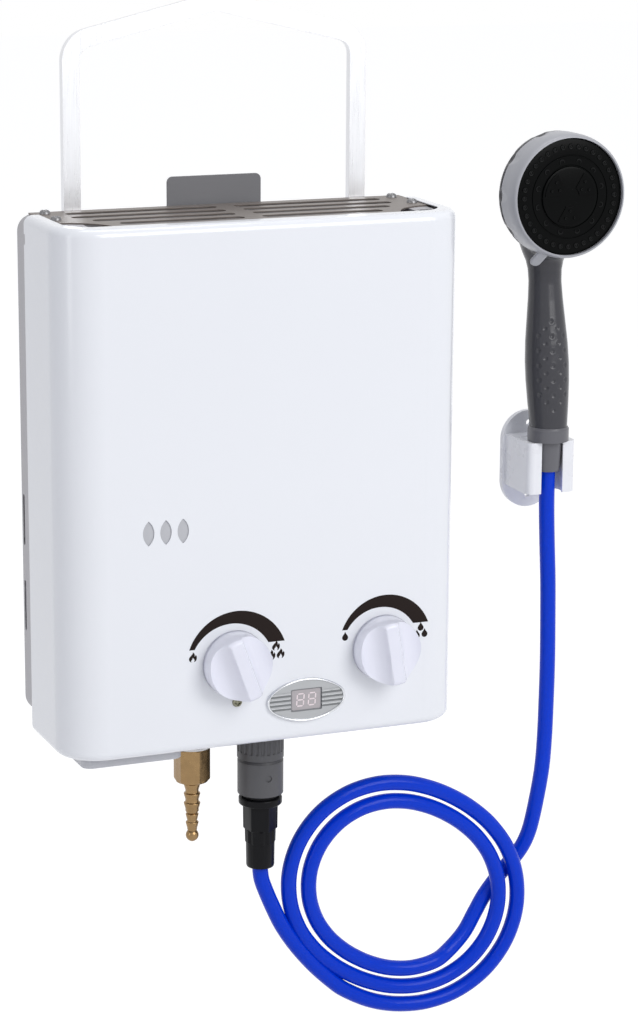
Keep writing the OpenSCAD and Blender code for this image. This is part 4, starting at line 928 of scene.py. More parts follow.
@dataclass
class ShowerHose(SubAssembly):
    """Blue hose: a lead from the outlet, a flat coil of a bit over two loops, and a riser."""

    diameter: float = 11.5
    sides: int = 20
    lead: list[tuple[float, float, float]] = field(default_factory=lambda: [
        (14, -55, -450.5), (14, -55, -453.5), (15, -55, -461), (18.5, -55, -471), (23.5, -55, -483),
        (29.5, -55, -496), (37, -55, -508.5), (46, -55, -521), (57, -55, -534), (70, -55, -547),
        (81, -55, -556)])
    exit_bends: list[tuple[float, float, float]] = field(default_factory=lambda: [
        (164, -50.5, -540), (179, -47, -528.5), (189, -44.5, -515), (198, -43, -502), (212, -42.3, -486),
        (225, -42, -473), (232.5, -41.8, -461)])
    riser: list[tuple[float, float, float]] = field(default_factory=lambda: [
        (237.5, -41.5, -444.5), (243.5, -41, -413), (246, -40, -388), (247, -39.5, -357),
        (247.5, -39, -327), (247.5, -38, -296), (247, -37.5, -266), (246, -36.5, -236), (245.3, -36, -212),
        (245, -36, -186.2), (245, -36, -183.2)])
    coil_centre: tuple[float, float, float] = (123.5, -55, -484)
    coil_first_deg: float = -105
    coil_last_deg: float = 655
    coil_start_r: float = 94
    coil_pitch: float = 14.6
    coil_stretch: float = 0.107
    coil_stretch_deg: float = -33
    coil_points: int = 24
    # closer knots of the route are left out, and points are set about a step apart, both in mm
    knot_gap: float = 2.0
    step: float = 3.0
    points: list[tuple[float, float, float]] = field(default_factory=list, init=False)

    def coil(self) -> list[tuple[float, float, float]]:
        """Returns the points of the coil, a spiral that is stretched a little along one direction."""
        sweep = self.coil_last_deg - self.coil_first_deg
        count = round(sweep / 360 * self.coil_points)
        x, y, z = self.coil_centre
        points = []
        for i in range(count + 1):
            turned = sweep * i / count
            angle = math.radians(self.coil_first_deg + turned)
            stretch = 1 + self.coil_stretch * math.cos(2 * (angle - math.radians(self.coil_stretch_deg)))
            radius = (self.coil_start_r - self.coil_pitch * turned / 360) * stretch
            points.append((x + radius * math.cos(angle), y, z + radius * math.sin(angle)))
        return points

    def route(self) -> list[tuple[float, float, float]]:
        """Returns the whole route on one smooth curve, with a point every 3 mm or so."""
        knots = [Vector(p) for p in self.lead + self.coil() + self.exit_bends + self.riser]
        kept = [knots[0]]
        for knot in knots[1:]:
            if (knot - kept[-1]).length > self.knot_gap:
                kept.append(knot)
        points = [kept[0]]
        for i in range(len(kept) - 1):
            a, b = kept[max(0, i - 1)], kept[i]
            c, d = kept[i + 1], kept[min(len(kept) - 1, i + 2)]
            steps = max(1, round((c - b).length / self.step))
            # a Catmull-Rom curve from b to c, steered by a and d
            for k in range(1, steps + 1):
                t = k / steps
                points.append(0.5 * ((2 * b) + (c - a) * t + (2 * a - 5 * b + 4 * c - d) * t * t
                                     + (3 * b - a - 3 * c + d) * t ** 3))
        return [tuple(p) for p in points]

    def build(self) -> Object:
        """Draws the hose along its route."""
        self.points = self.route()
        links = [(i, i + 1) for i in range(len(self.points) - 1)]
        base = new_piece("shower_hose", self.points, edges=links)
        hose = hose_recipe().make("shower_hose", base, Radius=self.diameter / 2 * MM, Sides=self.sides,
                                  Material=HOSE_BLUE.material())
        self.dress(hose, HOSE_BLUE, ["hose_coil", "hose_lead", "hose_riser"], with_recipe=True)
        return hose

    def declare(self, hose: Object, with_pieces: Sequence[Object]) -> None:
        """Args:
            hose: The hose. Not used.
            with_pieces: The pieces on it. Not used.
        """


@dataclass
class Casing(SubAssembly):
    """Front cover, back pan, hanger plate, spacer and bottom plate."""

    refined: tuple[Refined, ...] = (
        ("front_cover", "enamelled_cover", ENAMEL, 0.25),
        ("back_pan", "galvanised_back_pan", ZINC_SHEET, 0.4),
        ("hanger_plate", "wall_hanger_plate", PLATE_STEEL, 0.4),
        ("lower_spacer", "lower_wall_spacer", PLATE_STEEL, 0.4))
    painted: tuple[str, ...] = ("hanger_rivets", "bottom_plate")
    # left, right, bottom, top, rear and thickness of the mica behind the inspection windows
    pane: tuple[float, ...] = (-97.0, -52.0, -198.0, -172.0, -107.2, 0.8)

    def build(self) -> None:
        """Dresses the sheet parts and sets the mica pane."""
        super().build()
        left, right, low, high, rear_y, depth = self.pane
        corners = [(left, low), (right, low), (right, high), (left, high)]
        pane = prism("mica_window_pane", corners, rear_y, depth)
        soften(pane, 0.15, 2)
        self.dress(pane, MICA, body="heater")


def cross_screw(name: str, radius: float, height: float) -> Object:
    """Makes a domed head with a cross recess, upright on the origin.

    Args:
        name: The piece's name.
        radius: Head radius in mm.
        height: Head height in mm.

    Returns:
        The screw head.
    """
    steps, rings = 48, 17
    arm_w, arm_l, recess = radius * 0.272, radius * 0.713, height * 0.55
    wall_w, wall_l = arm_w / 2, radius * 0.186
    points = []
    for ring in range(rings):
        share = ring / (rings - 1)
        dome = height * (1 - share ** 3.2) ** 0.55
        for angle in angles(steps):
            x, y = radius * share * math.cos(angle), radius * share * math.sin(angle)
            z = dome
            for across, along in ((abs(x), abs(y)), (abs(y), abs(x))):
                side = min(1.0, max(0.0, (arm_w - across) / wall_w))
                end = min(1.0, max(0.0, (arm_l - along) / wall_l))
                z = min(z, dome - recess * side * end)
            points.append((x, y, z))
    return solid(name, points, [*bands(rings, steps), cap(rings - 1, steps)[::-1]], 45, 0.0005)


@dataclass
class TopGrille(SubAssembly):
    """Slotted grille plate with its four screws."""

    refined: tuple[Refined, ...] = (("top_grille", "slotted_top_grille", GRILLE_STEEL, 0.25),)
    head_r: float = 3.8
    head_h: float = 2.8
    seat_z: float = 19.0
    screw_spots: tuple[tuple[float, float], ...] = ((-127, -17), (127, -17), (-129, -48), (129, -48))

    def build(self, placing: Recipe) -> None:
        """Dresses the plate and sets the screws.

        Args:
            placing: The tree that sets a piece on points.
        """
        super().build()
        head = cross_screw("grille_screw_head", self.head_r, self.head_h)
        base = new_piece("grille_screw_heads", [(x, y, self.seat_z) for x, y in self.screw_spots])
        heads = placing.make("grille_screw_heads", base, Piece=head, Material=SCREW_ZINC.material())
        bpy.data.objects.remove(head)
        self.dress(heads, SCREW_ZINC, ["grille_screws"], with_recipe=True)


@dataclass
class CarryHandle(SubAssembly):
    """Roof-shaped channel handle on its pins."""

    refined: tuple[Refined, ...] = (("carry_handle", "channel_carry_handle", SATIN_ALUMINIUM, 0.9),)
    painted: tuple[str, ...] = ("handle_brackets", "handle_pins")


class Mark(Enum):
    """Printed pictograms beside the knobs."""

    FLAME = "flame"
    DROP = "drop"


@dataclass
class Controls(SubAssembly):
    """The two knobs with their printed scales and pictograms, and the cover's screw."""

    painted: tuple[str, ...] = ("gas_spindle", "water_spindle")
    knob_r: float = 23.0
    knob_h: float = 23.0
    knob_z: float = -280.5
    knob_gap: float = 0.3
    edge_r: float = 3.0
    wall_step: float = 0.6
    crown: float = 0.6
    rib_half: float = 4.5
    scoop_r: float = 12.0
    scoop_floor: float = 13.4
    blend: float = 3.2
    steps: int = 144
    print_t: float = 0.12
    mark_scale: float = 1.13
    screw: tuple[float, float] = (3.5, 2.6)
    # name, sideways place, lean to the left in degrees and CAD node of each knob
    knobs: tuple[tuple, ...] = (
        ("gas_control_knob", -26, 20, "gas_knob"), ("water_control_knob", 84, 9, "water_knob"))
    # name, X, Z and radius of the outer and the inner circle, and height of the cut ends
    scales: tuple[tuple, ...] = (
        ("gas_scale", (-23.9, -281, 36.8), (-27.9, -283.2, 30.5), -268.5),
        ("water_scale", (85.8, -278.2, 34.7), (82, -280.8, 28.9), -265.8))

    @property
    def top_r(self) -> float:
        """Radius at which the knob's top begins to round off."""
        return self.knob_r - self.wall_step - self.edge_r

    def knob(self, name: str, x: float, lean_deg: float, node: str) -> None:
        """Builds a knob with a finger rib between two scooped sides.

        Args:
            name: The piece's name.
            x: Sideways place in mm.
            lean_deg: How far the rib leans to the left.
            node: The CAD node that it replaces.
        """
        base_y, lean = COVER_FACE_Y - self.knob_gap, math.radians(lean_deg)
        radii = [self.top_r * i / 36 for i in range(37)]
        radii += [self.top_r + self.edge_r * math.sin(math.radians(9 * i)) for i in range(1, 11)]
        radii += [self.knob_r - 0.45, self.knob_r - 0.2, self.knob_r]
        points = []
        for r in radii:
            for angle in angles(self.steps):
                u, v = r * math.cos(angle), r * math.sin(angle)
                across, up = spin(u, v, lean)
                points.append((x + across, base_y - self.top_height(u, r), self.knob_z + up))
        for height, inset in ((3.0, 0.0), (0.6, 0.0), (0.0, 0.5)):
            for angle in angles(self.steps):
                across, up = spin(self.knob_r - inset, 0, angle + lean)
                points.append((x + across, base_y - height, self.knob_z + up))
        rings = len(radii) + 3
        faces = [*bands(rings, self.steps), cap(rings - 1, self.steps)]
        self.dress(solid(name, points, faces, 60), KNOB_PLASTIC, [node])

    def top_height(self, u: float, r: float) -> float:
        """Height of the knob's top.

        Args:
            u: Distance across the rib in mm.
            r: Distance from the knob's centre in mm.

        Returns:
            The height above the knob's base in mm.
        """
        dome = self.knob_h + self.crown * max(0.0, 1 - r / self.top_r)
        if r > self.top_r:
            out = min(1.0, (r - self.top_r) / self.edge_r)
            dome = self.knob_h - self.edge_r * (1 - math.sqrt(1 - out * out))
        if r > self.top_r + self.edge_r:
            dome = (self.knob_h - self.edge_r) * max(0.0, self.knob_r - r) / self.wall_step
        inside = self.scoop_r ** 2 - (abs(u) - self.rib_half - self.scoop_r) ** 2
        scoop = self.scoop_floor + self.scoop_r - math.sqrt(inside) if inside > 0 else 2 * self.knob_h
        mix = max(0.0, self.blend - abs(dome - scoop)) / self.blend
        return min(dome, scoop) - mix * mix * self.blend * 0.25

    def crescent(self, name: str, outer: tuple[float, float, float], inner: tuple[float, float, float],
                 cut_z: float) -> None:
        """Prints a crescent scale between two circles, cut level at both ends.

        Args:
            name: The piece's name.
            outer: X, Z and radius of the outer circle in mm.
            inner: X, Z and radius of the inner circle in mm.
            cut_z: Height at which the ends are cut.
        """
        count = 72
        rows = []
        for cx, cz, r in (outer, inner):
            last = math.asin((cut_z - cz) / r)
            first = math.pi - last
            arc = [spin(r, 0, first + (last - first) * i / count) for i in range(count + 1)]
            rows.append([(cx + u, cz + v) for u, v in arc])
        scale = prism(name, rows[0] + rows[1][::-1], COVER_FACE_Y, self.print_t)
        self.dress(scale, PRINT_BROWN, body="heater")

    def mark_outline(self, mark: Mark) -> list[tuple[float, float]]:
        """Returns a pictogram's outline, 6 mm high and centred."""
        if mark is Mark.DROP:
            low = [(1.95 * math.cos(a), -0.85 + 1.95 * math.sin(a))
                   for a in (math.radians(25 - i * 230 / 24) for i in range(25))]
            side = [(0.28, 2.2), (0.8, 1.3), (1.35, 0.6)]
            return [(0.0, 2.8), *side, *low, *((-u, v) for u, v in side[::-1])]
        return [(0.2, 3.2), (1.1, 2.2), (1.3, 1.2), (1.15, 0.4), (1.75, 0.9), (2.0, 1.5), (2.6, 0.2),
                (2.55, -1.2), (1.9, -2.4), (0.9, -3.05), (1.15, -2.2), (1.05, -1.4), (0.55, -0.75),
                (0.1, -0.1), (-0.15, -0.9), (-0.55, -1.5), (-1.0, -1.9), (-1.05, -2.5), (-0.75, -3.05),
                (-1.8, -2.5), (-2.4, -1.5), (-2.3, -0.4), (-1.6, 0.6), (-0.8, 1.4), (-0.1, 2.2)]

    def pictograms(self) -> None:
        """Prints the flames and drops."""
        spots = {Mark.FLAME: [(-56, -273.6), (4.3, -271.5), (1.0, -277.8), (7.7, -277.4)],
                 Mark.DROP: [(55.6, -270.2), (112.6, -268.8), (109.8, -274.2), (115.6, -273.6)]}
        for mark, places in spots.items():
            prints = []
            for i, (x, z) in enumerate(places):
                outline = [(x + u * self.mark_scale, z + v * self.mark_scale)
                           for u, v in self.mark_outline(mark)]
                prints.append(prism(f"{mark.value}_{i}", outline, COVER_FACE_Y, self.print_t))
            self.dress(joined(f"printed_{mark.value}s", prints), PRINT_BROWN, body="heater")

    def cover_screw(self, placing: Recipe) -> None:
        """Sets the screw under the gas knob."""
        head = cross_screw("cover_screw_form", *self.screw)
        head.data.transform(Matrix.Rotation(math.radians(90), 4, "X"))
        low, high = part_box("cover_screw")
        middle = (low + high) / 2
        base = new_piece("cover_screw_head", [(middle.x / MM, COVER_FACE_Y, middle.z / MM)])
        screw = placing.make("cover_screw_head", base, Piece=head, Material=SCREW_OLIVE.material())
        bpy.data.objects.remove(head)
        self.dress(screw, SCREW_OLIVE, ["cover_screw"], with_recipe=True)

    def build(self, placing: Recipe) -> None:
        """Builds all the controls.

        Args:
            placing: The tree that sets a piece on points.
        """
        for knob in self.knobs:
            self.knob(*knob)
        for scale in self.scales:
            self.crescent(*scale)
        self.pictograms()
        self.cover_screw(placing)
        super().build()


@dataclass
class Display(SubAssembly):
    """Oval display with its chrome rim, banded plate, window and two digits."""

    painted: tuple[str, ...] = ("display_module",)
    width: float = 58.0
    height: float = 31.0
    centre: tuple[float, float] = (26.5, -312.0)
    window: tuple[float, float] = (21.0, 14.0)
    margin: float = 1.0
    end_share: float = 0.58
    steps: int = 96
    # offset outwards and height above the cover of the rim's section
    rim: tuple[tuple[float, float], ...] = (
        (-0.05, 0), (0, 0.5), (-0.05, 1.6), (-0.35, 2.3), (-0.8, 2.58), (-1.3, 2.4), (-1.7, 1.8),
        (-1.85, 1.3))
    # height above the cover of the plate's outer edge, of its opening and of the opening's rear
    plate_heights: tuple[float, float, float] = (1.35, 1.6, 0.4)
    # width and height of a digit, thickness of its bars, the gap at their ends, and the slant
    digit: tuple[float, ...] = (5.0, 8.6, 0.95, 0.35, 0.08)
    digit_x: tuple[float, float] = (-4.3, 4.3)
    digit_t: float = 0.12
    # growth past the opening, lowest and highest point above the cover, of the border and of the pane
    border: tuple[float, float, float] = (0.3, 0.2, 0.6)
    pane: tuple[float, float, float] = (-0.9, 0.2, 0.85)
    corner_r: float = 1.2

    def edge(self, grow: float) -> list[tuple[float, float]]:
        """Points on the oval made of four arcs, moved out by grow.

        Args:
            grow: Distance outwards in mm.

        Returns:
            X and Z pairs in mm.
        """
        w, h = self.width / 2 + grow, self.height / 2 + grow
        end_r = h * self.end_share
        end_x = w - end_r
        flat_r = (end_x ** 2 + h ** 2 - end_r ** 2) / (2 * (h - end_r))
        joint_x = end_x * flat_r / (flat_r - end_r)
        points = []
        for angle in angles(self.steps):
            dx, dz = math.cos(angle), math.sin(angle)
            low, high = 0.0, w + 1
            for _ in range(30):
                mid = (low + high) / 2
                x, z = abs(dx * mid), abs(dz * mid)
                within = (math.hypot(x - end_x, z) <= end_r) if x > joint_x else (
                    math.hypot(x, z + flat_r - h) <= flat_r)
                low, high = (mid, high) if within else (low, mid)
            points.append((self.centre[0] + dx * low, self.centre[1] + dz * low))
        return points

    def swept(self, name: str, rings: Sequence[Sequence[tuple[float, float]]], heights: Sequence[float],
              sharp_deg: float = 0.0) -> Object:
        """Spans a skin over outlines at different heights.

        Args:
            name: The piece's name.
            rings: X and Z pairs of each outline in mm, all with as many points.
            heights: Height of each outline above the cover in mm.
            sharp_deg: Edges sharper than this stay sharp; 0 for flat shading.

        Returns:
            The swept piece.
        """
        points = [(x, COVER_FACE_Y - height, z) for ring, height in zip(rings, heights) for x, z in ring]
        return solid(name, points, bands(len(rings), self.steps), sharp_deg)

    def plate(self, half_w: float, half_h: float) -> Object:
        """Builds the plate between the rim and the window's opening.

        Args:
            half_w: Half the opening's width in mm.
            half_h: Half the opening's height in mm.

        Returns:
            The plate.
        """
        outer, inner = self.edge(-1.7), []
        for x, z in outer:
            dx, dz = x - self.centre[0], z - self.centre[1]
            scale = min(half_w / abs(dx) if dx else math.inf, half_h / abs(dz) if dz else math.inf)
            inner.append((self.centre[0] + dx * scale, self.centre[1] + dz * scale))
        return self.swept("display_banded_plate", [outer, inner, inner], self.plate_heights)

    def block(self, name: str, half_w: float, half_h: float, rise: Sequence[float]) -> Object:
        """Makes a plate with rounded corners round the display's centre.

        Args:
            name: The piece's name.
            half_w: Half the opening's width in mm.
            half_h: Half the opening's height in mm.
            rise: Growth past the opening, and lowest and highest point above the cover, in mm.

        Returns:
            The plate.
        """
        grow, low, high = rise
        reach_x, reach_z = half_w + grow - self.corner_r, half_h + grow - self.corner_r
        outline = []
        for sx, sz, start in ((1, 1, 0), (-1, 1, 90), (-1, -1, 180), (1, -1, 270)):
            for k in range(5):
                u, v = spin(self.corner_r, 0, math.radians(start + k * 22.5))
                outline.append((self.centre[0] + sx * reach_x + u, self.centre[1] + sz * reach_z + v))
        return prism(name, outline, COVER_FACE_Y - low, high - low)

    def digits(self) -> Object:
        """Returns two seven-segment eights."""
        bars = []
        wide, tall, thick, gap, slant = self.digit
        for digit, x0 in enumerate(self.digit_x):
            lines = [((-wide / 2, q * tall / 2), (wide / 2, q * tall / 2)) for q in (1, 0, -1)]
            lines += [((p * wide / 2, q * tall / 2), (p * wide / 2, 0))
                      for p in (-1, 1) for q in (-1, 1)]
            for k, (a, b) in enumerate(lines):
                a, b = Vector(a), Vector(b)
                along = (b - a).normalized()
                side = Vector((-along.y, along.x)) * thick / 2
                a, b, point = a + along * gap, b - along * gap, along * thick / 2
                outline = [a, a + point + side, b - point + side, b, b - point - side, a + point - side]
                leaning = [(self.centre[0] + x0 + p.x + slant * p.y, self.centre[1] + p.y)
                           for p in outline]
                bars.append(prism(f"bar_{digit}_{k}", leaning, COVER_FACE_Y - self.pane[2], self.digit_t))
        return joined("display_digits", bars)

    def build(self) -> None:
        """Builds the display."""
        rings = [self.edge(grow) for grow, _ in self.rim]
        rim = self.swept("display_chrome_rim", rings, [height for _, height in self.rim], 60)
        self.dress(rim, CHROME, ["display_bezel"])
        w, h = self.window[0] / 2 + self.margin, self.window[1] / 2 + self.margin
        self.dress(self.plate(w, h), DISPLAY_PLATE, body="heater")
        self.dress(self.block("display_window_border", w, h, self.border), WINDOW_FRAME, body="heater")
        self.dress(self.block("display_window_pane", w, h, self.pane), WINDOW, ["display_window"])
        self.dress(self.digits(), DIGIT, body="heater")
        super().build()


@dataclass
class GasInlet(SubAssembly):
    """Brass nut with its washer and stepped hose tail."""

    x: float = -37.5
    y: float = -55.0
    nut_low: float = -380.0

    def build(self) -> None:
        """Dresses the nut and turns the tail."""
        top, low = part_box("gas_inlet")[1].z / MM, self.nut_low
        nut = nut_shape("brass_hex_nut", [
            (top, 11.9, 0.0, 0.0), (top - 0.9, 12.9, 0.7, 0.0), (top - 1.7, 13.0, 1.0, 0.0),
            (low + 2.2, 13.0, 1.0, 0.0), (low + 1.2, 12.6, 0.7, 0.0), (low, 11.3, 0.0, 0.0)],
            (self.x, self.y), -26, 3.6)
        self.dress(nut, BRASS, ["gas_inlet"])
        self.refine("gas_washer", "steel_washer", BRIGHT_ZINC, 0.3)
        self.dress(self.tail(), BRASS, ["gas_hose_tail"])

    def tail(self) -> Object:
        """Turns the hose tail: three wide barbs, two narrow ones and a ball-shaped end."""
        profile = [(0, 0.2), (4.6, 0.2), (4.8, -0.5), (4.8, -1.6)]
        for first, core, barb, pitch, count in ((-1.6, 4.8, 5.9, 7.0, 3), (-24.0, 3.6, 4.6, 6.0, 2)):
            for i in range(count):
                z = first - i * pitch
                profile += [(core + 0.1, z - 0.1), (barb - 0.3, z - 0.4), (barb, z - 0.8),
                            (barb - 0.05, z - 1.2), (core + 0.25, z - 4.3), (core, z - 4.8),
                            (core, z - pitch + 0.2)]
        profile += [(3.6, -35.8), (3.2, -37.0), (3.1, -37.4)]
        ball_r, ball_z = 4.6, -40.5
        profile += [(ball_r * math.sin(math.radians(a)), ball_z + ball_r * math.cos(math.radians(a)))
                    for a in range(46, 159, 8)]
        profile += [(1.8, -44.8), (1.7, -44.1), (1.7, -35)]
        return lathe("brass_hose_tail", profile, (self.x, self.y, self.nut_low), 56, 50)


@dataclass
class Outlet(SubAssembly):
    """Ribbed collar, quick connector and hose nut below the heater."""

    refined: tuple[Refined, ...] = (
        ("outlet_adaptor", "ribbed_outlet_collar", CONNECTOR_GREY, 0.3),
        ("connector_sleeve", "release_sleeve", CONNECTOR_GREY, 0.8),
        ("connector_ring", "black_flange_ring", CONNECTOR_BLACK, 1.2))
    painted: tuple[str, ...] = ("connector_core",)
    x: float = 14.0
    y: float = -55.0
    nut: Object | None = field(default=None, init=False)

    def build(self) -> None:
        """Dresses the connector stack and makes the hose nut."""
        super().build()
        top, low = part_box("hose_nut")[1].z / MM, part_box("hose_nut")[0].z / MM
        mid, foot = top - 19.0, top - 29.0
        self.nut = nut_shape("black_hose_nut", [
            (top, 11.6, 0.0, 0.0), (top - 0.8, 12.3, 0.7, 0.0), (top - 2.0, 12.5, 1.0, 0.0),
            (mid + 0.6, 12.3, 1.0, 0.0), (mid, 11.9, 0.9, 0.0), (mid - 0.4, 11.1, 0.0, 0.7),
            (foot + 0.5, 10.9, 0.0, 0.7), (foot, 10.3, 0.0, 0.0), (low + 1.6, 10.1, 0.0, 0.0),
            (low + 0.5, 9.7, 0.0, 0.0), (low, 8.8, 0.0, 0.0)], (self.x, self.y), -22, 5.9)
        self.dress(self.nut, CONNECTOR_BLACK, ["hose_nut"])


@dataclass
class BatteryCase(SubAssembly):
    """Battery box, lid and cells."""

    refined: tuple[Refined, ...] = (
        ("battery_box", "battery_case", BOX_PLASTIC, 0.9),
        ("battery_lid", "battery_case_lid", BOX_PLASTIC, 0.4))
    painted: tuple[str, ...] = ("battery_cells",)


@dataclass
class Interior(SubAssembly):
    """Burner, heat exchanger, pipes and valves that show through the openings."""

    painted: tuple[str, ...] = (
        "flue_hood", "heat_exchanger", "exchanger_tubes", "combustion_chamber", "chamber_pipe",
        "hot_pipe", "cold_pipe", "burner_box", "burner_bars", "gas_manifold", "gas_valve", "water_valve",
        "diaphragm_housing", "diaphragm", "push_rod", "inlet_filter", "igniter_box", "electrodes",
        "overheat_switch")


@dataclass
class WallHolder(SubAssembly):
    """Obround back plate with its forked cradle."""

    refined: tuple[Refined, ...] = (("wall_holder", "forked_wall_holder", HOLDER_PLASTIC, 1.4),)


@dataclass
class HandShower(SubAssembly):
    """Grip with back shell, turning ring, black face and rubber nozzles."""

    x: float = 245.0
    y: float = -36.0
    lean_deg: float = 6.0
    low_z: float = -150.2
    grip_l: float = 121.5
    head_z: float = 19.3
    back_y: float = -40.5
    shell_r: float = 44.2
    shell_h: float = 17.0
    ring_r: float = 44.4
    ring_depth: float = 21.2
    face_r: float = 41.4
    # the grip bends back past its end and fades out this far below the head's centre
    neck_bend: float = 0.10
    neck_drop: float = 22.0
    neck_fade: float = 0.9
    blend: float = 9.0
    # heights in mm between which the skin is fine enough for the dimples
    dimple_zone: tuple[float, float] = (-142.0, -66.0)
    face_h: float = 19.2
    petal_low: float = 20.3
    petal_h: float = 0.75
    joint_gap: float = 0.3
    bore_gap: float = 0.1
    hollow_r: float = 11.0
    hollow_cut: float = 1.3
    hollow_count: int = 10
    dimple_r: float = 1.9
    dimple_depth: float = 0.85
    dimple_rim: float = 0.12
    dimple_pitch: float = 10.55
    dimple_first_deg: float = -48
    dimple_step_deg: float = 19
    grip_round: float = 15.5
    ferrule: Object | None = field(default=None, init=False)

    @property
    def start_y(self) -> float:
        """Y at which ring and face begin, just before the shell."""
        return self.back_y - self.joint_gap

    def spine(self, z: np.ndarray) -> np.ndarray:
        """Y of the leaning grip's middle line at the given heights."""
        return self.y + (z - self.low_z) * math.tan(math.radians(self.lean_deg))

    def grip_radius(self, t: np.ndarray) -> np.ndarray:
        """Radius of the grip along its length, for shares from 0 at the collar to 1 at the neck."""
        shares = [0, 0.03, 0.14, 0.27, 0.38, 0.5, 0.63, 0.76, 0.86, 0.93, 0.98, 1.03, 1.12]
        radii = [13.6, 13.9, 14.9, 15.8, 16.0, 15.4, 14.0, 12.6, 11.9, 12.3, 13.6, 16.2, 20.0]
        return np.interp(t, shares, radii)

    def form(self, x: np.ndarray, y: np.ndarray, z: np.ndarray) -> np.ndarray:
        """Distance-like value of the body: negative inside the grip or the back shell.

        Args:
            x: Distance from the handset's middle plane in mm.
            y: Y in mm.
            z: Z in mm.

        Returns:
            The smooth union of grip and shell.
        """
        share = np.clip((z - self.low_z) / self.grip_l, 0, 1.12)
        past = np.maximum(0, z - (self.low_z + self.grip_l))
        over = np.maximum(0, z - (self.head_z - self.neck_drop))
        grip = np.hypot(x, y - self.spine(z) + past * self.neck_bend) - self.grip_radius(share)
        grip = grip + over * self.neck_fade
        r = np.hypot(x, z - self.head_z)
        back = self.back_y + self.shell_h * (1 - np.clip(r / (self.shell_r + 1.5), 0, 1) ** 2.4) ** 0.62
        shell = np.maximum(np.maximum(y - back, r - self.shell_r), self.hollow(x, z, y - self.back_y))
        mix = np.clip(0.5 + 0.5 * (shell - grip) / self.blend, 0, 1)
        return shell * (1 - mix) + grip * mix - self.blend * mix * (1 - mix)

    def hollow(self, x: np.ndarray, z: np.ndarray, behind: np.ndarray) -> np.ndarray:
        """How far a point lies inside one of the thumb hollows round the head's joint.

        Args:
            x: Distance from the handset's middle plane in mm.
            z: Z in mm.
            behind: Distance behind the joint between shell and ring in mm; negative in front of it.

        Returns:
            The depth inside the nearest hollow, negative outside.
        """
        r = np.hypot(x, z - self.head_z)
        turn = fold(np.arctan2(z - self.head_z, x), 2 * math.pi / self.hollow_count)
        bowl = self.hollow_r + np.where(behind > 0, 0.5 - 0.6 * np.maximum(0, behind - 3), 0.12 * behind)
        middle_r = self.ring_r + self.hollow_r - self.hollow_cut
        return bowl - np.hypot(r * np.cos(turn) - middle_r, r * np.sin(turn))

    def dimples(self) -> list[tuple[float, float]]:
        """Returns angle in degrees from the front and height of each thumb dimple."""
        columns = ((5, -83.2), (6, -77.9), (7, -72.7), (6, -77.9), (5, -83.2))
        return [(self.dimple_first_deg + self.dimple_step_deg * column, top - self.dimple_pitch * i)
                for column, (count, top) in enumerate(columns) for i in range(count)]

    def body(self) -> Object:
        """Builds the grip and the back shell as one smooth skin with dimples."""
        top_z = self.head_z + self.shell_r - 0.05
        levels = [self.low_z]
        while levels[-1] < top_z:
            here = levels[-1]
            fine = self.dimple_zone[0] < here < self.dimple_zone[1]
            step = 0.6 if fine else (0.5 if here > top_z - 4 else 1.5)
            levels.append(min(top_z, here + step))
        z = np.array(levels)
        steps = 168
        # the rays that find the skin start on the spine, and inside the shell further up
        share = np.clip((z - (self.head_z - self.shell_r - 4)) / 18, 0, 1)
        middle = (self.spine(z) * (1 - share) + (self.back_y + 4.5) * share)[:, None]
        zz, aa = np.meshgrid(z, angles(steps), indexing="ij")
        low, high = np.zeros_like(zz), np.full_like(zz, 60.0)
        # the shell is cut flat where the ring begins, the grip below it isn't
        joint_y = np.where(zz < self.head_z - 58, self.back_y - 40, self.back_y)
        for _ in range(32):
            mid = (low + high) / 2
            x, y = mid * np.sin(aa), middle - mid * np.cos(aa)
            inside = np.maximum(self.form(x, y, zz), joint_y - y) < 0
            low, high = np.where(inside, mid, low), np.where(inside, high, mid)
        radius = low
        for deg, height in self.dimples():
            across = fold(aa - math.radians(deg), 2 * math.pi) * self.grip_round
            away = np.hypot(across, zz - height) / self.dimple_r
            radius = radius - self.dimple_depth * np.clip(1 - away ** 2, 0, 1) ** 1.3
            radius = radius + self.dimple_rim * np.exp(-((away - 1.15) / 0.18) ** 2)
        points = np.stack([self.x + radius * np.sin(aa), middle - radius * np.cos(aa), zz], -1)
        rows = len(levels)
        faces = [*bands(rows, steps), cap(0, steps)[::-1], cap(rows - 1, steps)]
        return solid("handset_grip_and_shell", points.reshape(-1, 3).tolist(), faces, 50, 0.002)

    def ring(self) -> Object:
        """Builds the turning ring with thumb hollows along its rear edge and the lever tab."""
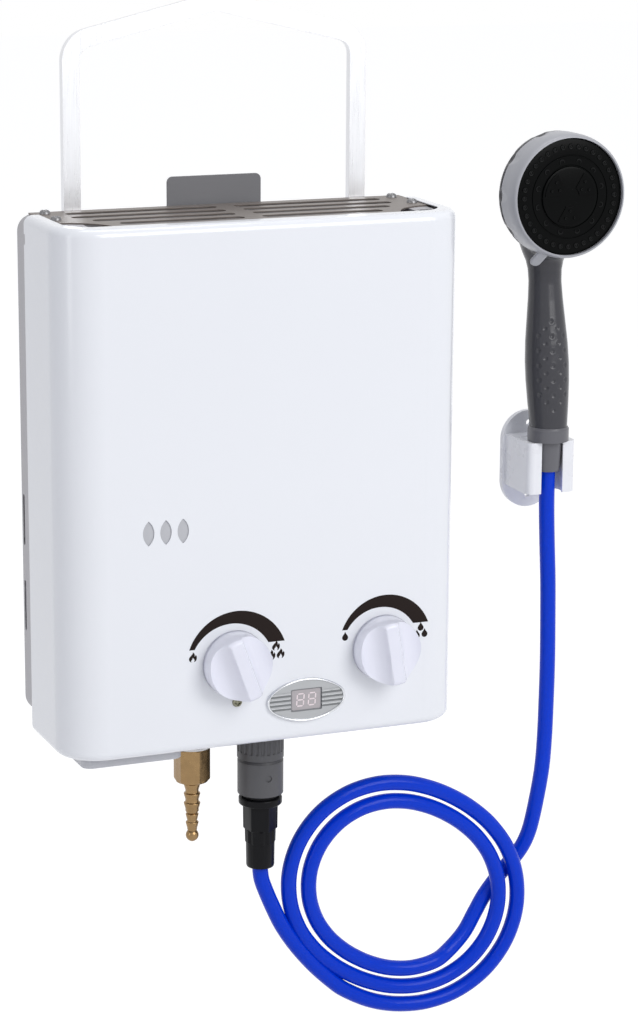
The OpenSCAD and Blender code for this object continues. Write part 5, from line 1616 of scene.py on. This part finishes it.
        # share of the ring's depth and inset from its radius, from the rear to the front
        outside = [(0.0, 0.25), (0.02, 0.0)] + [(0.05 * i, 0.0) for i in range(1, 13)]
        outside += [(0.65, 0.05), (0.75, 0.2), (0.84, 0.5), (0.91, 0.9), (0.96, 1.4), (0.99, 2.0),
                    (1.0, 2.6)]
        bore_r = self.face_r + self.bore_gap
        bore = [(1.0, bore_r + 0.05), (0.86, bore_r), (0.38, bore_r), (0.0, bore_r)]
        rows = [(share * self.ring_depth, self.ring_r - inset, True) for share, inset in outside]
        rows += [(share * self.ring_depth, radius, False) for share, radius in bore]
        steps, period = 360, 2 * math.pi / self.hollow_count
        middle_r = self.ring_r + self.hollow_r - self.hollow_cut
        points = []
        for along, radius, hollowed in rows:
            bowl = self.hollow_r - 0.12 * along
            for angle in angles(steps):
                r, w = radius, self.ring_r * math.sin(fold(angle, period))
                if hollowed and abs(w) < bowl:
                    r = min(r, middle_r - math.sqrt(bowl * bowl - w * w))
                points.append((self.x + r * math.cos(angle), self.start_y - along,
                               self.head_z + r * math.sin(angle)))
        ring = solid("ring_band", points, bands(len(rows), steps, closed=True))
        whole = joined("spray_turning_ring", [ring, self.lever()])
        smooth(whole, 40)
        return whole

    def lever(self) -> Object:
        """Builds the ring's lever: a rounded tongue that leans back and outwards."""
        turn, slope = math.radians(247), math.radians(40)
        rows, cols, half_w, half_t = 25, 28, 4.0, 1.6
        root, length, tip_l = -6.0, 14.5, 4.0
        points = []
        for k in range(rows):
            along = root + length * k / (rows - 1)
            tip = max(0.0, (along - root - length + tip_l) / tip_l)
            narrow = math.sqrt(max(0.004, 1 - tip * tip))
            for angle in angles(cols):
                c, q = (math.copysign(abs(part) ** 0.6, part) for part in spin(1, 0, angle))
                w, t = half_w * narrow * c, half_t * min(1.0, narrow + 0.25) * q
                out = self.ring_r + 2.6 + along * math.cos(slope) + t * math.sin(slope)
                front = 11.0 - along * math.sin(slope) + t * math.cos(slope)
                across, up = spin(out, w, turn)
                points.append((self.x + across, self.start_y - front, self.head_z + up))
        return solid("ring_lever", points, [*bands(rows, cols), cap(0, cols)[::-1], cap(rows - 1, cols)])

    def face(self) -> Object:
        """Builds the face plate with its grooves and raised centre."""
        front, r = self.face_h, self.face_r
        profile = [(r - 0.2, 2.0), (r, 4.0), (r, front - 1.0), (r - 0.5, front - 0.25), (r - 1.2, front)]
        profile += [(r * share, front + lift) for share, lift in (
            (0.72, 0.25), (0.715, -0.35), (0.70, -0.35), (0.695, 0.25), (0.545, 0.3), (0.535, -0.4),
            (0.52, -0.4), (0.51, 0.9), (0.48, 1.2), (0, 1.25))]
        return lathe("spray_face_plate", profile, (self.x, self.start_y, self.head_z), 120, 25, "-Y")

    def nozzles(self, rings: Recipe) -> Object:
        """Sets the nozzles: an outer circle, twelve crescents on the middle band and nine fine ones.

        Args:
            rings: The tree that sets pieces round an axis.

        Returns:
            The joined nozzles.
        """
        nub = lathe("nub", [(0, 1.05), (0.5, 1.0), (0.62, 0.35), (1.15, 0.3), (1.3, 0.75), (1.65, 0.8),
                            (1.9, 0.45), (2.0, -0.3)], (0, 0, 0), 24, 40)
        pore = lathe("pore", [(0, 0.3), (0.45, 0.35), (0.6, 1.0), (0.85, 1.0), (1.0, 0.7), (1.05, -0.3)],
                     (0, 0, 0), 16, 40)
        leaf = self.crescent_nozzle()
        # name, form, number, share of the face's radius, first angle in degrees and height
        sets = (("outer_nozzles", nub, 36, 0.856, 0.0, self.face_h),
                ("mist_nozzles", leaf, 12, 0.61, 15.0, self.face_h),
                ("pad_nozzles", pore, 3, 0.24, 30.0, self.petal_low + 0.7),
                ("pad_left_nozzles", pore, 3, 0.37, 43.0, self.petal_low + 0.7),
                ("pad_right_nozzles", pore, 3, 0.37, 17.0, self.petal_low + 0.7))
        upright = Matrix.Rotation(math.radians(90), 4, "X")
        placed = []
        for name, form, count, share, first, height in sets:
            made = rings.make(name, new_piece(name, [(0, 0, 0)]), Piece=form, Count=count,
                              Radius=self.face_r * share * MM, Start=math.radians(first),
                              Material=NOZZLE_RUBBER.material())
            spot = Vector((self.x, self.start_y - height, self.head_z)) * MM
            made.data.transform(Matrix.Translation(spot) @ upright)
            placed.append(made)
        for form in (nub, leaf, pore):
            bpy.data.objects.remove(form)
        whole = joined("spray_rubber_nozzles", placed)
        smooth(whole, 40)
        return whole

    def crescent_nozzle(self) -> Object:
        """Returns one crescent-shaped raised lip."""
        points, count = [], 14
        for i in range(count + 1):
            angle = math.radians(-130 + 260 * i / count)
            wide = 0.55 * math.sin(math.pi * i / count) + 0.12
            for side, height in ((-1, -0.2), (-0.6, 0.75), (0.6, 0.75), (1, -0.2)):
                points.append((*spin(1.7 + side * wide, 0, angle), height))
        faces = [(i * 4 + k, i * 4 + k + 1, (i + 1) * 4 + k + 1, (i + 1) * 4 + k)
                 for i in range(count) for k in range(3)]
        return solid("leaf", points, [*faces, cap(0, 4)[::-1], cap(count, 4)])

    def petals(self) -> Object:
        """Returns the three raised petals on the face's centre."""
        ends = [(19.6, -28 + 56 * i / 12) for i in range(13)]
        ends += [(7.1, 24 - 48 * i / 6) for i in range(7)]
        pieces = []
        for k in range(3):
            outline = [spin(r, 0, math.radians(150 + 120 * k + deg)) for r, deg in ends]
            pieces.append(prism(f"petal_{k}", [(self.x + u, self.head_z + v) for u, v in outline],
                                self.start_y - self.petal_low, self.petal_h))
        whole = joined("spray_face_petals", pieces)
        soften(whole, 0.3, 2)
        return whole

    def build(self, rings: Recipe) -> None:
        """Builds the hand shower.

        Args:
            rings: The tree that sets pieces round an axis.
        """
        self.dress(self.body(), GRIP_GREY, ["handset_body"])
        self.refine("handset_collar", "handset_end_collar", COLLAR_GREY, 1.3)
        self.ferrule = self.refine("hose_ferrule", "hose_end_ferrule", COLLAR_GREY, 0.6)
        self.dress(self.ring(), RING_GREY, ["spray_ring"])
        self.dress(self.face(), FACE_BLACK, ["spray_face"])
        self.dress(self.nozzles(rings), NOZZLE_RUBBER, ["spray_nozzles"])
        self.dress(self.petals(), FACE_BLACK, body="spray_head")


# ---------------------------------------------------------------- the whole part

def main() -> None:
    """Builds the studio and every sub-assembly."""
    logging.basicConfig(level=logging.INFO, format="%(name)s %(message)s")
    cad_low, cad_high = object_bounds()
    Studio().build(cad_low.z)
    rings, placing = ring_recipe(), place_recipe()
    hose_run = ShowerHose()
    hose = hose_run.build()
    outlet, shower = Outlet(), HandShower()
    plain = (Casing(), CarryHandle(), Display(), GasInlet(), outlet, BatteryCase(), Interior(),
             WallHolder())
    with_screws = (TopGrille(), Controls())
    for sub in plain:
        sub.build()
    for sub in with_screws:
        sub.build(placing)
    shower.build(rings)
    hose_run.declare(hose, [outlet.nut, shower.ferrule])
    for sub in (hose_run, *plain, *with_screws, shower):
        sub.report()


if __name__ == "__main__":
    main()
